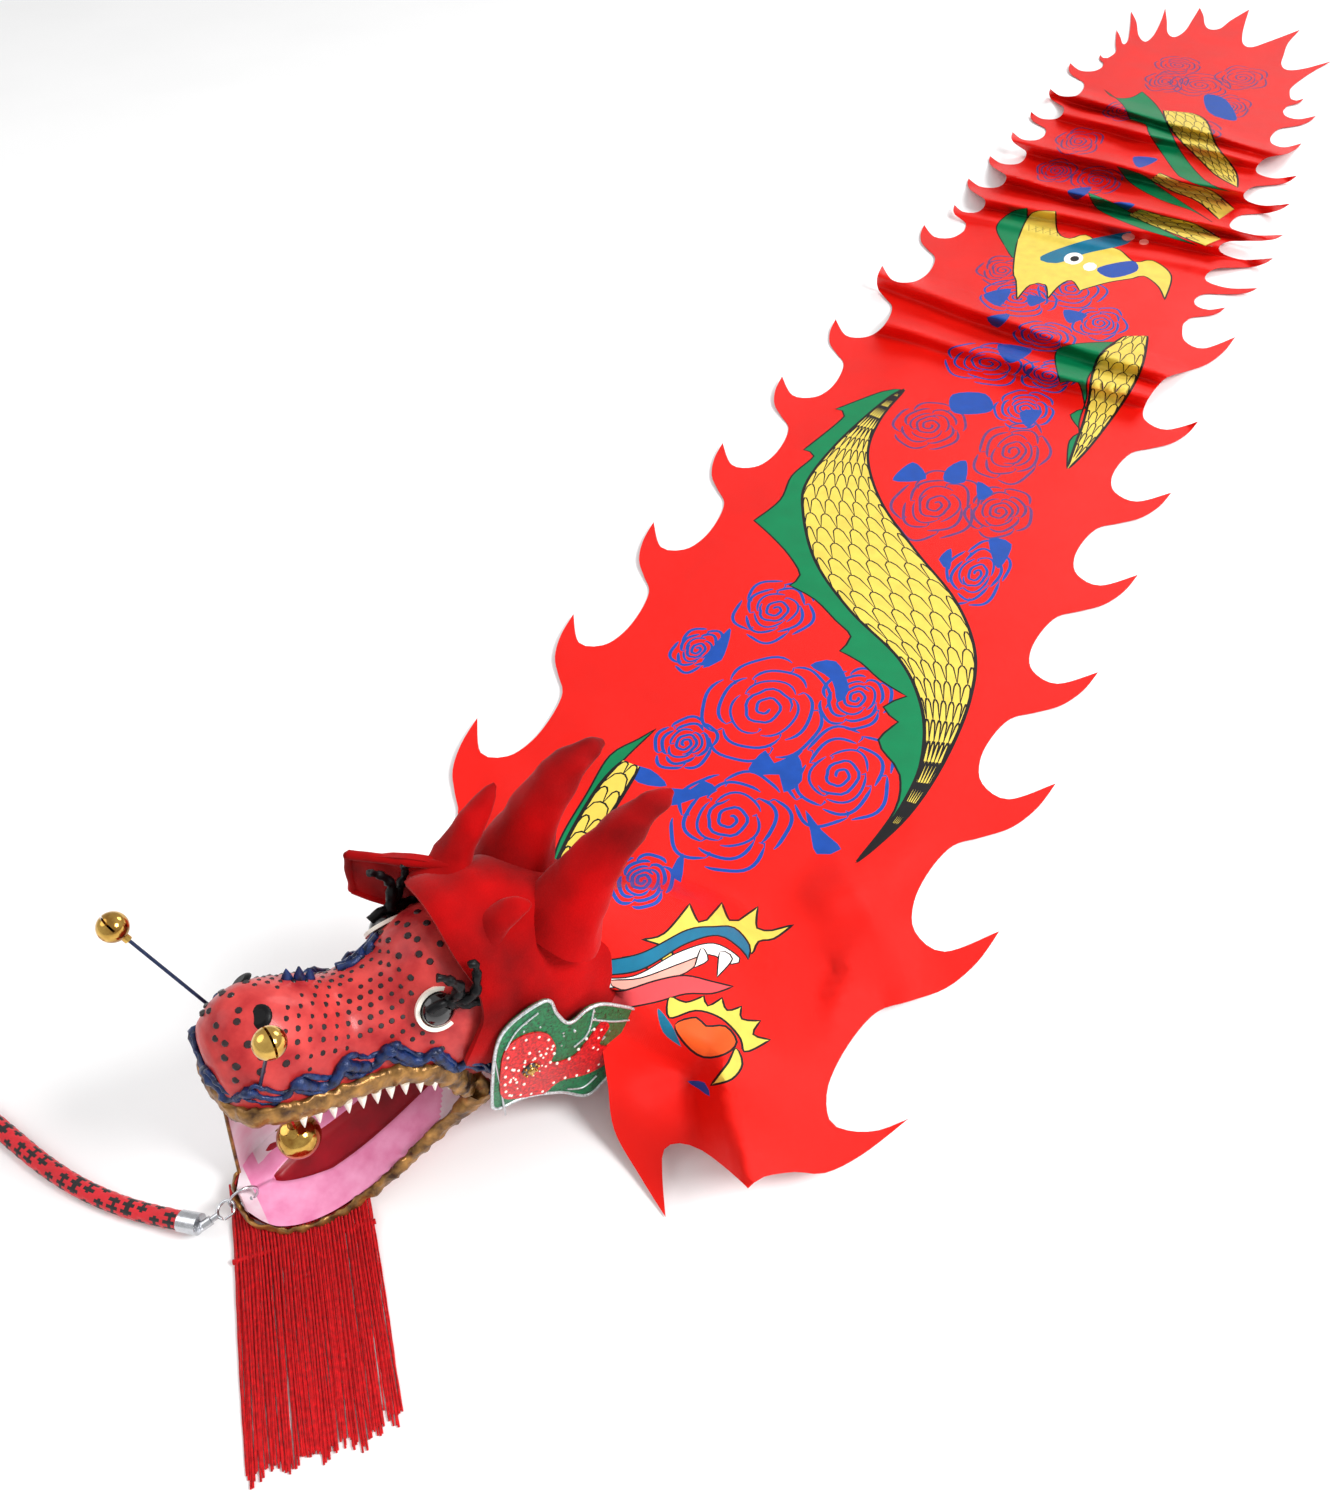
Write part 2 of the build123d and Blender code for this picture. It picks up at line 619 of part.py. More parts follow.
def ribbon_pieces():
    """Pieces made straight in the row's frame: name and shape."""
    pieces = {"rope_cap": rope_cap(), "rope_tube": rope_tube(), "rope_coil": rope_coil(),
              "hand_grip": hand_grip(), "neck_sleeve": neck_sleeve(),
              "front_apron": front_apron() - neck_sleeve(),
              "folds_front": folds(FOLD_A_Y + GAP, FOLD_A_END, 2, 38),
              "folds_rear": folds(FOLD_B_Y + GAP, FOLD_B_END, 5, 40), "tail_end": round_tail()}
    spans = {"front": (NECK_JOINT_Y, FOLD_A_Y), "mid": (FOLD_A_END, FOLD_B_Y),
             "rear": (FOLD_B_END, TAIL_ROUND_Y)}
    for name, (y_start, y_end) in spans.items():
        pieces[f"panel_{name}"] = panel(y_start, y_end)
        pieces[f"border_left_{name}"] = flame_border(-1, y_start, y_end)
        pieces[f"border_right_{name}"] = flame_border(1, y_start, y_end)
    return pieces


def main():
    os.makedirs("parts", exist_ok=True)
    for node, shape in head_pieces().items():
        write_node(node, TO_ROW * shape)
    for node, shape in ribbon_pieces().items():
        write_node(node, shape)
    report_rope()


main()
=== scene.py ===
import math
import random

import bpy
import numpy as np
from mathutils import Matrix, Vector, geometry, noise


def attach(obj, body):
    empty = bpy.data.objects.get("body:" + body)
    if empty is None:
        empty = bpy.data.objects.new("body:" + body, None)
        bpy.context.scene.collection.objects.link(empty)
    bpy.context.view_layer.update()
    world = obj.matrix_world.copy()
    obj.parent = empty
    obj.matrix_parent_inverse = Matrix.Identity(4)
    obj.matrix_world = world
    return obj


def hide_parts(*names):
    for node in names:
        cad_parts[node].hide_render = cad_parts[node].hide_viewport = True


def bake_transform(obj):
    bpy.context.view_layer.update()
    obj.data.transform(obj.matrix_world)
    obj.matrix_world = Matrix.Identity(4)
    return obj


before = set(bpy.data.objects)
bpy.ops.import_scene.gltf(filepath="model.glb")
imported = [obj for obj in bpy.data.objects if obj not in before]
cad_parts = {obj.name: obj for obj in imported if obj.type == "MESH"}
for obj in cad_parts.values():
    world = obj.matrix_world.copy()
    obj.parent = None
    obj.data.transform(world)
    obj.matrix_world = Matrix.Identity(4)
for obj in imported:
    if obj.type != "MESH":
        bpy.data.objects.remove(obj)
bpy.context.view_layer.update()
random.seed(7)
noise.seed_set(7)  # noise_vector takes its seed from the clock otherwise

# The ribbon's own millimetre frame (y from the head to the tail) and the head's millimetre frame.
ORIGIN_Y = 1626.26
ROW = Matrix.Scale(0.001, 4) @ Matrix.Translation((0, -ORIGIN_Y, 0))
HEAD = ROW @ Matrix.Translation((-3, -55, 0)) @ Matrix.Rotation(math.radians(-118), 4, "Z")


# ---- materials -----------------------------------------------------------------------------------
def srgb(r, g, b):
    """Linear colour of an sRGB colour given as 0 to 255."""
    return tuple(((c / 255 + 0.055) / 1.055) ** 2.4 if c > 10 else c / 255 / 12.92
                 for c in (r, g, b)) + (1,)


def scaled(colour, factor):
    return tuple(min(1.0, c * factor) for c in colour[:3]) + (1,)


def material(name, colour, rough=0.5, metal=0.0, vary=0.12, vary_scale=40, bump=0.15, bump_scale=400,
             distance=0.0006, sheen=0.0, coat=0.0, weave=0.0, specular=0.5, dark=None):
    """A surface whose colour, roughness and relief all vary with procedural noise, and a weave if asked."""
    mat = bpy.data.materials.new(name)
    mat.use_nodes = True
    mat.diffuse_color = colour
    nodes, links = mat.node_tree.nodes, mat.node_tree.links
    shader = nodes["Principled BSDF"]
    shader.inputs["Metallic"].default_value = metal
    shader.inputs["Sheen Weight"].default_value = sheen
    shader.inputs["Sheen Roughness"].default_value = 0.4
    shader.inputs["Coat Weight"].default_value = coat
    shader.inputs["Coat Roughness"].default_value = 0.12
    shader.inputs["Specular IOR Level"].default_value = specular
    place = nodes.new("ShaderNodeTexCoord")
    blotch = nodes.new("ShaderNodeTexNoise")
    blotch.inputs["Scale"].default_value = vary_scale
    blotch.inputs["Detail"].default_value = 4
    links.new(place.outputs["Object"], blotch.inputs["Vector"])
    ramp = nodes.new("ShaderNodeValToRGB")
    ramp.color_ramp.elements[0].position = 0.3
    ramp.color_ramp.elements[1].position = 0.7
    ramp.color_ramp.elements[0].color = dark or scaled(colour, 1 - vary)
    ramp.color_ramp.elements[1].color = scaled(colour, 1 + vary)
    links.new(blotch.outputs["Fac"], ramp.inputs["Fac"])
    links.new(ramp.outputs["Color"], shader.inputs["Base Color"])
    gloss = nodes.new("ShaderNodeMapRange")
    gloss.inputs["To Min"].default_value = max(0.02, rough - 0.08)
    gloss.inputs["To Max"].default_value = min(1.0, rough + 0.08)
    links.new(blotch.outputs["Fac"], gloss.inputs["Value"])
    links.new(gloss.outputs["Result"], shader.inputs["Roughness"])
    fine = nodes.new("ShaderNodeTexNoise")
    fine.inputs["Scale"].default_value = bump_scale
    fine.inputs["Detail"].default_value = 3
    links.new(place.outputs["Object"], fine.inputs["Vector"])
    height = fine.outputs["Fac"]
    if weave:
        height = add_weave(nodes, links, place, height, weave)
    relief = nodes.new("ShaderNodeBump")
    relief.inputs["Strength"].default_value = bump
    relief.inputs["Distance"].default_value = distance
    links.new(height, relief.inputs["Height"])
    links.new(relief.outputs["Normal"], shader.inputs["Normal"])
    return mat


def add_weave(nodes, links, place, height, scale):
    """Warp and weft threads multiplied into a height."""
    for axis in ("X", "Y"):
        wave = nodes.new("ShaderNodeTexWave")
        wave.bands_direction = axis
        wave.inputs["Scale"].default_value = scale
        wave.inputs["Distortion"].default_value = 0.6
        links.new(place.outputs["Object"], wave.inputs["Vector"])
        mix = nodes.new("ShaderNodeMath")
        mix.operation = "ADD"
        links.new(height, mix.inputs[0])
        links.new(wave.outputs["Fac"], mix.inputs[1])
        height = mix.outputs["Value"]
    return height


THREADS = 420        # scale of the satin's weave


def satin(name, colour, vary, vary_scale):
    """One colour of the print on the ribbon's satin."""
    return material(name, srgb(*colour), rough=0.5, specular=0.16, vary=vary, vary_scale=vary_scale,
                    weave=THREADS)


M = {
    # The red's broad colour blotches (vary_scale 9) are painted soft shading of creases, placed at random
    # by noise.
    "cloth": material("cloth_red", srgb(222, 20, 10), rough=0.45, vary=0.07, vary_scale=9, bump=0.25,
                      specular=0.16, weave=THREADS),
    "blue": satin("print_blue", (22, 72, 160), 0.1, 60),
    "swirl": satin("print_grey", (96, 58, 112), 0.15, 90),
    "green": satin("print_green", (0, 122, 74), 0.08, 30),
    "yellow": satin("print_yellow", (226, 200, 84), 0.08, 50),
    "black": satin("print_black", (22, 20, 22), 0.2, 60),
    "teal": satin("print_teal", (18, 108, 140), 0.1, 50),
    "white": satin("print_white", (245, 240, 235), 0.04, 50),
    "pink": satin("print_pink", (240, 165, 150), 0.06, 50),
    "tongue": satin("print_tongue", (225, 75, 80), 0.06, 50),
    "orange": satin("print_orange", (232, 88, 30), 0.06, 50),
    "reverse": material("cloth_reverse", srgb(238, 165, 165), rough=0.6, vary=0.06, vary_scale=12,
                        weave=THREADS),
    "rope_red": material("rope_red", srgb(205, 20, 35), rough=0.7, bump=0.5, bump_scale=1500, sheen=0.3),
    "rope_black": material("rope_black", srgb(22, 16, 18), rough=0.7, bump=0.5, bump_scale=1500, sheen=0.2),
    "skin": material("painted_skin", srgb(198, 62, 58), rough=0.4, vary=0.16, vary_scale=45, bump=0.35,
                     bump_scale=160, coat=0.1, specular=0.3, dark=srgb(156, 20, 28)),
    "stud": material("stud_black", srgb(30, 12, 16), rough=0.35, vary=0.3, vary_scale=200),
    "gum": material("gum_pink", srgb(244, 168, 206), rough=0.35, vary=0.08, vary_scale=60, coat=0.2,
                    dark=srgb(234, 134, 180)),
    "cavity": material("mouth_red", srgb(150, 0, 22), rough=0.45, vary=0.25, vary_scale=50),
    "lining": material("lining_pale", srgb(236, 232, 236), rough=0.45, vary=0.06, vary_scale=40,
                       dark=srgb(232, 190, 206)),
    "gold_lip": material("gold_lip", srgb(160, 116, 58), rough=0.34, metal=0.55, vary=0.3, vary_scale=90,
                         bump=0.8, bump_scale=170, distance=0.0014, dark=srgb(64, 40, 22)),
    "navy": material("navy_glitter", srgb(14, 44, 96), rough=0.35, metal=0.2, vary=0.35, vary_scale=160,
                     bump=0.7, bump_scale=700, dark=srgb(6, 12, 34)),
    "ivory": material("tooth_white", srgb(246, 240, 226), rough=0.3, vary=0.06, vary_scale=90, coat=0.4),
    "lash": material("lash_black", srgb(3, 3, 5), rough=0.42, vary=0.1, vary_scale=90, specular=0.2),
    "black_gloss": material("black_gloss", srgb(12, 10, 12), rough=0.16, vary=0.3, vary_scale=90,
                            coat=0.8, bump=0.1),
    "velvet": material("velvet_red", srgb(178, 0, 2), rough=0.8, vary=0.16, vary_scale=16, bump=0.5,
                       bump_scale=900, sheen=0.08, specular=0.1, dark=srgb(120, 0, 2)),
    "velvet_inner": material("velvet_inner", srgb(206, 70, 48), rough=0.75, vary=0.14, vary_scale=20,
                             bump=0.4, bump_scale=900, sheen=0.1, specular=0.15),
    "ear_green": material("glitter_green", srgb(0, 112, 64), rough=0.3, metal=0.25, vary=0.6,
                          vary_scale=420, bump=0.9, bump_scale=900, dark=srgb(0, 58, 34)),
    "petal": material("glitter_red", srgb(214, 24, 28), rough=0.32, metal=0.25, vary=0.45, vary_scale=420,
                      bump=0.9, bump_scale=900, dark=srgb(130, 4, 12)),
    "silver": material("glitter_silver", srgb(205, 212, 214), rough=0.3, metal=0.7, vary=0.3,
                       vary_scale=500, bump=0.8, bump_scale=900),
    "yarn": material("yarn_red", srgb(206, 14, 22), rough=0.6, vary=0.12, vary_scale=300, bump=0.6,
                     bump_scale=1400, sheen=0.1, specular=0.2, dark=srgb(160, 4, 12)),
    "steel": material("steel", srgb(196, 198, 202), rough=0.24, metal=1.0, vary=0.12, vary_scale=140,
                      bump=0.12, bump_scale=600),
    "gold": material("gold_bright", srgb(214, 176, 92), rough=0.14, metal=1.0, vary=0.16, vary_scale=70,
                     bump=0.15, bump_scale=300, dark=srgb(150, 104, 44)),
    "plastic": material("black_plastic", srgb(26, 26, 28), rough=0.4, vary=0.15, vary_scale=90),
    "rubber": material("grip_rubber", srgb(30, 28, 30), rough=0.7, vary=0.15, vary_scale=60, bump=0.5,
                       bump_scale=500),
    "whisker": material("whisker_wire", srgb(34, 46, 78), rough=0.35, metal=0.6, vary=0.2, vary_scale=200),
    "floor": material("floor_pale", srgb(250, 250, 250), rough=0.8, vary=0.01, vary_scale=3, bump=0.05),
}


# ---- mesh building -------------------------------------------------------------------------------
class Build:
    """Collects mesh parts in millimetres and makes one object of them."""

    def __init__(self):
        self.verts, self.faces, self.slots = [], [], []

    def add(self, verts, faces, slot=0):
        start = len(self.verts)
        self.verts += [tuple(v) for v in verts]
        self.faces += [[i + start for i in face] for face in faces]
        self.slots += [slot] * len(faces)

    def grid(self, rows, slot=0, around=False, closed=False):
        """Rows of points joined by quads; `around` closes each row, `closed` joins last row to first."""
        wide, high = len(rows[0]), len(rows)
        faces = []
        for i in range(high if closed else high - 1):
            for j in range(wide if around else wide - 1):
                k, m = (i + 1) % high, (j + 1) % wide
                faces.append([i * wide + j, i * wide + m, k * wide + m, k * wide + j])
        self.add([p for row in rows for p in row], faces, slot)

    def tube(self, points, radii, sides=8, slot=0, closed=False, caps=True, flat=1.0, up=None):
        """A round or flattened tube along points; `flat` scales its thickness across `up`."""
        points = [Vector(p) for p in points]
        count = len(points)
        if not hasattr(radii, "__len__"):
            radii = [radii] * count
        rows, normal = [], None
        for i, point in enumerate(points):
            after = points[(i + 1) % count] if closed or i < count - 1 else point
            before = points[i - 1] if closed or i else point
            ahead = (after - before).normalized()
            if up is not None:
                normal = (Vector(up) - ahead * ahead.dot(Vector(up))).normalized()
            elif normal is None:
                normal = ahead.orthogonal().normalized()
            else:
                normal = (normal - ahead * ahead.dot(normal)).normalized()
            across = ahead.cross(normal)
            rows.append([point + float(radii[i]) * (math.cos(a) * normal + flat * math.sin(a) * across)
                         for a in np.linspace(0, 2 * math.pi, sides, endpoint=False)])
        self.grid(rows, slot, around=True, closed=closed)
        if caps and not closed:
            self.cap(rows[0], slot, True)
            self.cap(rows[-1], slot)

    def cap(self, ring, slot=0, flip=False):
        """A fan of triangles that closes a ring."""
        middle = sum((Vector(p) for p in ring), Vector()) / len(ring)
        count = len(ring)
        faces = [[count, (i + 1) % count, i] if flip else [count, i, (i + 1) % count] for i in range(count)]
        self.add(list(ring) + [middle], faces, slot)

    def ball(self, centre, radius, slot=0, segments=16, rings=10, axis=(0, 0, 1), share=1.0,
             squash=(1, 1, 1)):
        """A ball, or the cap of one round `axis` with `share` of its height."""
        turn = Vector((0, 0, 1)).rotation_difference(Vector(axis)).to_matrix()
        rows = []
        for i in range(1, rings + 1):
            polar = math.acos(1 - 2 * share * i / rings)
            rows.append([Vector(centre) + turn @ Vector((squash[0] * radius * math.sin(polar) * math.cos(a),
                                                         squash[1] * radius * math.sin(polar) * math.sin(a),
                                                         squash[2] * radius * math.cos(polar)))
                         for a in np.linspace(0, 2 * math.pi, segments, endpoint=False)])
        self.grid(rows, slot, around=True)
        self.cap(rows[0], slot, True)
        if share == 1.0:
            self.cap(rows[-1], slot)

    def make(self, name, mats, where, body=None):
        """The finished object, moved from its own frame to metres, riding on a body and slotted."""
        mesh = bpy.data.meshes.new(name)
        mesh.from_pydata(self.verts, [], self.faces)
        mesh.transform(where)
        for mat in mats:
            mesh.materials.append(mat)
        mesh.polygons.foreach_set("material_index", self.slots)
        mesh.polygons.foreach_set("use_smooth", [True] * len(self.faces))
        mesh.update()
        piece = bpy.data.objects.new(name, mesh)
        bpy.context.scene.collection.objects.link(piece)
        if body:
            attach(piece, body)
        return piece


def smooth_line(points, step, closed=False, sharp=()):
    """Catmull-Rom line through the points, sampled about every `step`; indices in `sharp` stay corners."""
    points = [Vector(p) for p in points]
    count = len(points)
    line = []
    for i in range(count if closed else count - 1):
        a, b = points[i], points[(i + 1) % count]
        before = points[i - 1] if (closed or i) and i not in sharp else a
        onward = (closed or i < count - 2) and (i + 1) % count not in sharp
        beyond = points[(i + 2) % count] if onward else b
        pieces = max(1, round((b - a).length / step))
        for k in range(pieces):
            t = k / pieces
            line.append(0.5 * (2 * a + (b - before) * t + (2 * before - 5 * a + 4 * b - beyond) * t * t
                               + (3 * a - before - 3 * b + beyond) * t ** 3))
    if not closed:
        line.append(points[-1])
    return line


def table_at(table, x):
    """Smoothly interpolated row of a table whose first column is x."""
    x = min(max(x, table[0][0]), table[-1][0])
    i = max(k for k in range(len(table) - 1) if table[k][0] <= x)
    low, high = table[i], table[i + 1]
    before, beyond = table[max(i - 1, 0)], table[min(i + 2, len(table) - 1)]
    span = high[0] - low[0]
    t = (x - low[0]) / span
    row = []
    for c in range(1, len(low)):
        m0 = (high[c] - before[c]) / (high[0] - before[0]) * span
        m1 = (beyond[c] - low[c]) / (beyond[0] - low[0]) * span
        row.append(low[c] * (2 * t ** 3 - 3 * t * t + 1) + m0 * (t ** 3 - 2 * t * t + t)
                   + high[c] * (3 * t * t - 2 * t ** 3) + m1 * (t ** 3 - t * t))
    return row


# ---- camera, light and floor ---------------------------------------------------------------------
EYE_POINT = Vector((0.34794, -2.16981, 0.96))
AIM_PITCH = math.radians(45.348)               # the camera looks down this steeply
AIM_FLAT = (-0.46098, 0.88741)                 # and this way across the floor


def make_stage():
    camera = bpy.data.objects.new("camera", bpy.data.cameras.new("camera"))
    bpy.context.scene.collection.objects.link(camera)
    camera.data.lens, camera.data.sensor_width = 28.8, 36
    camera.location = EYE_POINT
    flat = math.cos(AIM_PITCH)
    ahead = Vector((AIM_FLAT[0] * flat, AIM_FLAT[1] * flat, -math.sin(AIM_PITCH)))
    camera.rotation_euler = ahead.to_track_quat("-Z", "Y").to_euler()
    camera.data.clip_start, camera.data.clip_end = 0.01, 100
    bpy.context.scene.camera = camera

    ground = Build()
    ground.grid([[(x, y, -0.3) for x in np.linspace(-15000, 15000, 7)]
                 for y in np.linspace(-14000, 16000, 7)])
    floor = ground.make("floor", [M["floor"]], ROW)

    world = bpy.data.worlds.new("studio")
    bpy.context.scene.world = world
    world.use_nodes = True
    world.node_tree.nodes["Background"].inputs["Color"].default_value = (1, 1, 1, 1)
    world.node_tree.nodes["Background"].inputs["Strength"].default_value = 0.66
    area_light("key", (2.3, -1.3, 2.3), (0, -1.3, 0), 1.2, 92)
    area_light("fill", (-2.2, -2.8, 2.6), (0, -1.4, 0), 2.6, 26)
    area_light("back", (0.9, 3.6, 3.0), (-0.3, 1.2, 0), 2.6, 98)
    bpy.context.scene.view_settings.view_transform = "Standard"


def area_light(name, place, target, size, power):
    data = bpy.data.lights.new(name, "AREA")
    data.shape, data.size, data.energy = "DISK", size, power
    light = bpy.data.objects.new(name, data)
    light.location = place
    light.rotation_euler = (Vector(target) - Vector(place)).to_track_quat("-Z", "Y").to_euler()
    bpy.context.scene.collection.objects.link(light)


make_stage()


# ---- rope ------------------------------------------------------------------------------------------
ROPE_R = 8.0
ROPE_ROUTE = [(-183, -361, 12.6), (-208, -367.5, 9.6), (-240, -374, 8.4), (-277, -378, 8.2),
              (-318, -377.5, 8.1), (-360, -373, 8.1), (-402, -368, 8.1), (-440, -367, 8.1)]
COIL_C = Vector((-452, -464, 8.1))


def rope_points():
    """The tube's route, then one turn of the coil and the bend that leads to the grip inside it."""
    points = [Vector(p) for p in ROPE_ROUTE]
    for k in range(1, 13):
        turn = math.radians(90 + 30 * k)
        radius = 97 - 16 * k / 12
        points.append(COIL_C + radius * Vector((math.cos(turn), math.sin(turn), 0)))
    for k in range(1, 6):
        turn = math.radians(90 + 26 * k)
        points.append(COIL_C + Vector((50 * math.cos(turn), 31 + 50 * math.sin(turn), 0.8 * k)))
    return [ROW @ p for p in points]


def nurbs_line(points, resolution=10):
    """Points read from the route's NURBS spline."""
    curve = bpy.data.curves.new("route", "CURVE")
    curve.dimensions = "3D"
    spline = curve.splines.new("NURBS")
    spline.points.add(len(points) - 1)
    for knot, point in zip(spline.points, points):
        knot.co = (*point, 1)
    spline.order_u = 3
    spline.use_endpoint_u = True
    spline.resolution_u = resolution
    holder = bpy.data.objects.new("route", curve)
    bpy.context.scene.collection.objects.link(holder)
    bpy.context.view_layer.update()
    mesh = bpy.data.meshes.new_from_object(holder)
    line = [v.co.copy() for v in mesh.vertices]
    bpy.data.objects.remove(holder)
    bpy.data.meshes.remove(mesh)
    return line


def even_line(line, step):
    """The same line with points every `step`, and its length."""
    line = np.array(line)
    gaps = np.linalg.norm(np.diff(line, axis=0), axis=1)
    along = np.concatenate([[0], np.cumsum(gaps)])
    places = np.linspace(0, along[-1], max(2, round(along[-1] / step)) + 1)
    return [Vector([np.interp(s, along, line[:, c]) for c in range(3)]) for s in places], along[-1]


def make_rope():
    """Diamond braid: sixteen strands in two sets that cross over each other on a round tube."""
    line, length = even_line(nurbs_line(rope_points()), 0.0015)
    rope = Build()
    sides, count = 32, len(line)
    rows = []
    for i, point in enumerate(line):
        ahead = (line[min(i + 1, count - 1)] - line[max(i - 1, 0)]).normalized()
        out = (Vector((0, 0, 1)) - ahead * ahead.z).normalized()
        across = ahead.cross(out)
        row = []
        for j in range(sides):
            turn = 2 * math.pi * j / sides
            u, v = braid_at(i, turn)
            radius = ROPE_R / 1000 * (0.9 + 0.1 * abs(math.sin(u) * math.sin(v)) ** 0.5)
            row.append(point + radius * (math.cos(turn) * out + math.sin(turn) * across))
        rows.append(row)
    rope.grid(rows, around=True)
    rope.cap(rows[0], 0, True)
    rope.cap(rows[-1])
    for f in range((count - 1) * sides):
        i, j = divmod(f, sides)
        u, v = braid_at(i + 0.5, 2 * math.pi * (j + 0.5) / sides)
        one, other = math.floor(u / math.pi), math.floor(v / math.pi)
        rope.slots[f] = 1 if (one + other) % 2 and one % 4 != 1 else 0
    piece = rope.make("swing_rope", [M["rope_red"], M["rope_black"]], Matrix.Identity(4), "rope")
    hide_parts("rope_tube", "rope_coil")


def braid_at(step, turn):
    """Phases of the two strand sets at a step along the rope and an angle round it."""
    return 4 * turn + step * 0.36, 4 * turn - step * 0.36


# ---- ribbon: outline -------------------------------------------------------------------------------
# Flame tips (x, y) on each side, up to the crumpled stretch and past it; the left side's x is mirrored.
RIGHT_TIPS = [(316, 228), (314, 450), (312, 655), (313, 872), (314, 1090), (312, 1308)]
RIGHT_FAR = [(317, 1624), (283, 1732), (321, 1839), (328, 1985), (330, 2110), (320, 2280), (313, 2446),
             (297, 2659), (303, 2866), (262, 2985)]
LEFT_TIPS = [(306, 245), (304, 460), (308, 685), (312, 915), (314, 1143), (312, 1372)]
LEFT_FAR = [(316, 1616), (308, 1833), (286, 1958), (304, 2110), (302, 2259), (300, 2430), (299, 2583),
            (303, 2770), (311, 3000), (258, 3106)]


def flame(tip, last_y, valley=231):
    """One flame on the right edge, from the valley behind the last flame to its tip and hook."""
    x, y = tip
    long = y - last_y
    out = x - valley
    return [(valley - 1, last_y - 4 * long / 218), (valley, last_y + 0.19 * long),
            (valley + 0.13 * out, last_y + 0.38 * long), (valley + 0.4 * out, last_y + 0.49 * long),
            (valley + 0.7 * out, last_y + 0.62 * long), (valley + 0.9 * out, last_y + 0.8 * long), (x, y),
            (valley + 0.53 * out, y - 46 * long / 218), (valley + 0.14 * out, y - 37 * long / 218)]


def edge_points(tips, first_y):
    """One side's points, flame after flame, and which of them are sharp."""
    points, corners, last_y = [], [], first_y
    for tip in tips:
        part = flame(tip, last_y)
        corners.append(len(points) + 6)
        points += part
        last_y = tip[1]
    return points, corners


# Outline of the fanned tail and of the corner next to the neck; a 1 marks a sharp point.
TAIL = [((226, 3010), None), ((224, 3060), None), ((240, 3150), None), ((262, 3240), None), ((288, 3330),
                                                                                             1),
        ((232, 3230), None), ((196, 3200), None), ((176, 3240), None), ((170, 3330), None), ((166, 3450),
                                                                                             None),
        ((178, 3590), 1), ((120, 3440), None), ((84, 3360), None), ((60, 3380), None), ((44, 3470), None),
        ((32, 3600), None), ((22, 3738), 1), ((-6, 3600), None), ((-20, 3500), None), ((-44, 3480), None),
        ((-64, 3520), None), ((-84, 3610), None), ((-108, 3690), 1), ((-104, 3560), None), ((-102, 3430),
                                                                                            None),
        ((-116, 3360), None), ((-140, 3390), None), ((-166, 3510), None), ((-196, 3640), 1),
        ((-180, 3500), None), ((-170, 3350), None), ((-178, 3280), None), ((-206, 3330), None),
        ((-240, 3460), None), ((-276, 3560), 1), ((-244, 3400), None), ((-222, 3270), None),
        ((-226, 3230), None), ((-250, 3300), None), ((-272, 3356), 1), ((-246, 3230), None),
        ((-228, 3150), None)]
APRON = [((-226, -2), None), ((-208, -26), None), ((-176, -34), None), ((-120, -4), None), ((-96, 40), 1),
         ((-84, 82), None), ((-52, 66), None), ((-22, 20), None), ((10, -30), None), ((32, -60), 1),
         ((57, -93), None), ((83, -128), None), ((122, -154), None), ((157, -175), 1), ((137, -143),
                                                                                        None),
         ((129, -124), None), ((138, -113), None), ((158, -110), None), ((187, -116), None), ((206, -122),
                                                                                              1),
         ((214, -107), None), ((235, -91), None), ((258, -80), None), ((280, -50), None), ((303, -2), 1),
         ((284, -24), None), ((261, -36), None), ((243, -34), None)]


def ribbon_outline():
    """Closed outline of the laid ribbon, corner indices kept sharp: apron, right edge, tail, left edge."""
    points = [p for p, _ in APRON]
    corners = [i for i, (_, sharp) in enumerate(APRON) if sharp]
    right, sharp = edge_points(RIGHT_TIPS + RIGHT_FAR, 0)
    corners += [len(points) + i for i in sharp]
    points += right
    corners += [len(points) + i for i, (_, corner) in enumerate(TAIL) if corner]
    points += [p for p, _ in TAIL]
    left, sharp = edge_points(LEFT_TIPS + LEFT_FAR, 27)
    left = [(-x, y) for x, y in reversed(left)]
    corners += [len(points) + len(left) - 1 - i for i in sharp]
    points += left
    line = smooth_line([(x, y, 0) for x, y in points], 9, closed=True, sharp=set(corners))
    return [(p.x, p.y) for p in line]


# ---- ribbon: drape ---------------------------------------------------------------------------------
NECK = (3.0, -43.0)
GATHERED_Y = 420           # the cloth is gathered up towards the neck from here on
TOP_OF_NECK = 200.0
# Crumpled ridges across the ribbon: y, slant, height and half width of each.
PLEATS = [(1372, -26, 34, 60), (1495, -62, 36, 62), (2010, -6, 34, 66), (2128, -34, 40, 62),
          (2336, -40, 44, 80), (2560, -60, 30, 80), (2668, -90, 40, 80), (1905, -20, 12, 60)]


def pleat_height(x, y):
    """Height of the crumpled ridges at a place on the cloth."""
    height = 0.0
    for place, slant, top, half in PLEATS:
        wander = 16 * noise.noise(Vector((x / 140, place, 3.1)))
        away = (y - place - slant * x / 230 - wander) / half
        if abs(away) < 1:
            swell = 0.86 + 0.3 * noise.noise(Vector((x / 90, place, 9.2)))
            height += top * swell * (0.5 + 0.5 * math.cos(math.pi * away)) ** 1.3
    return height


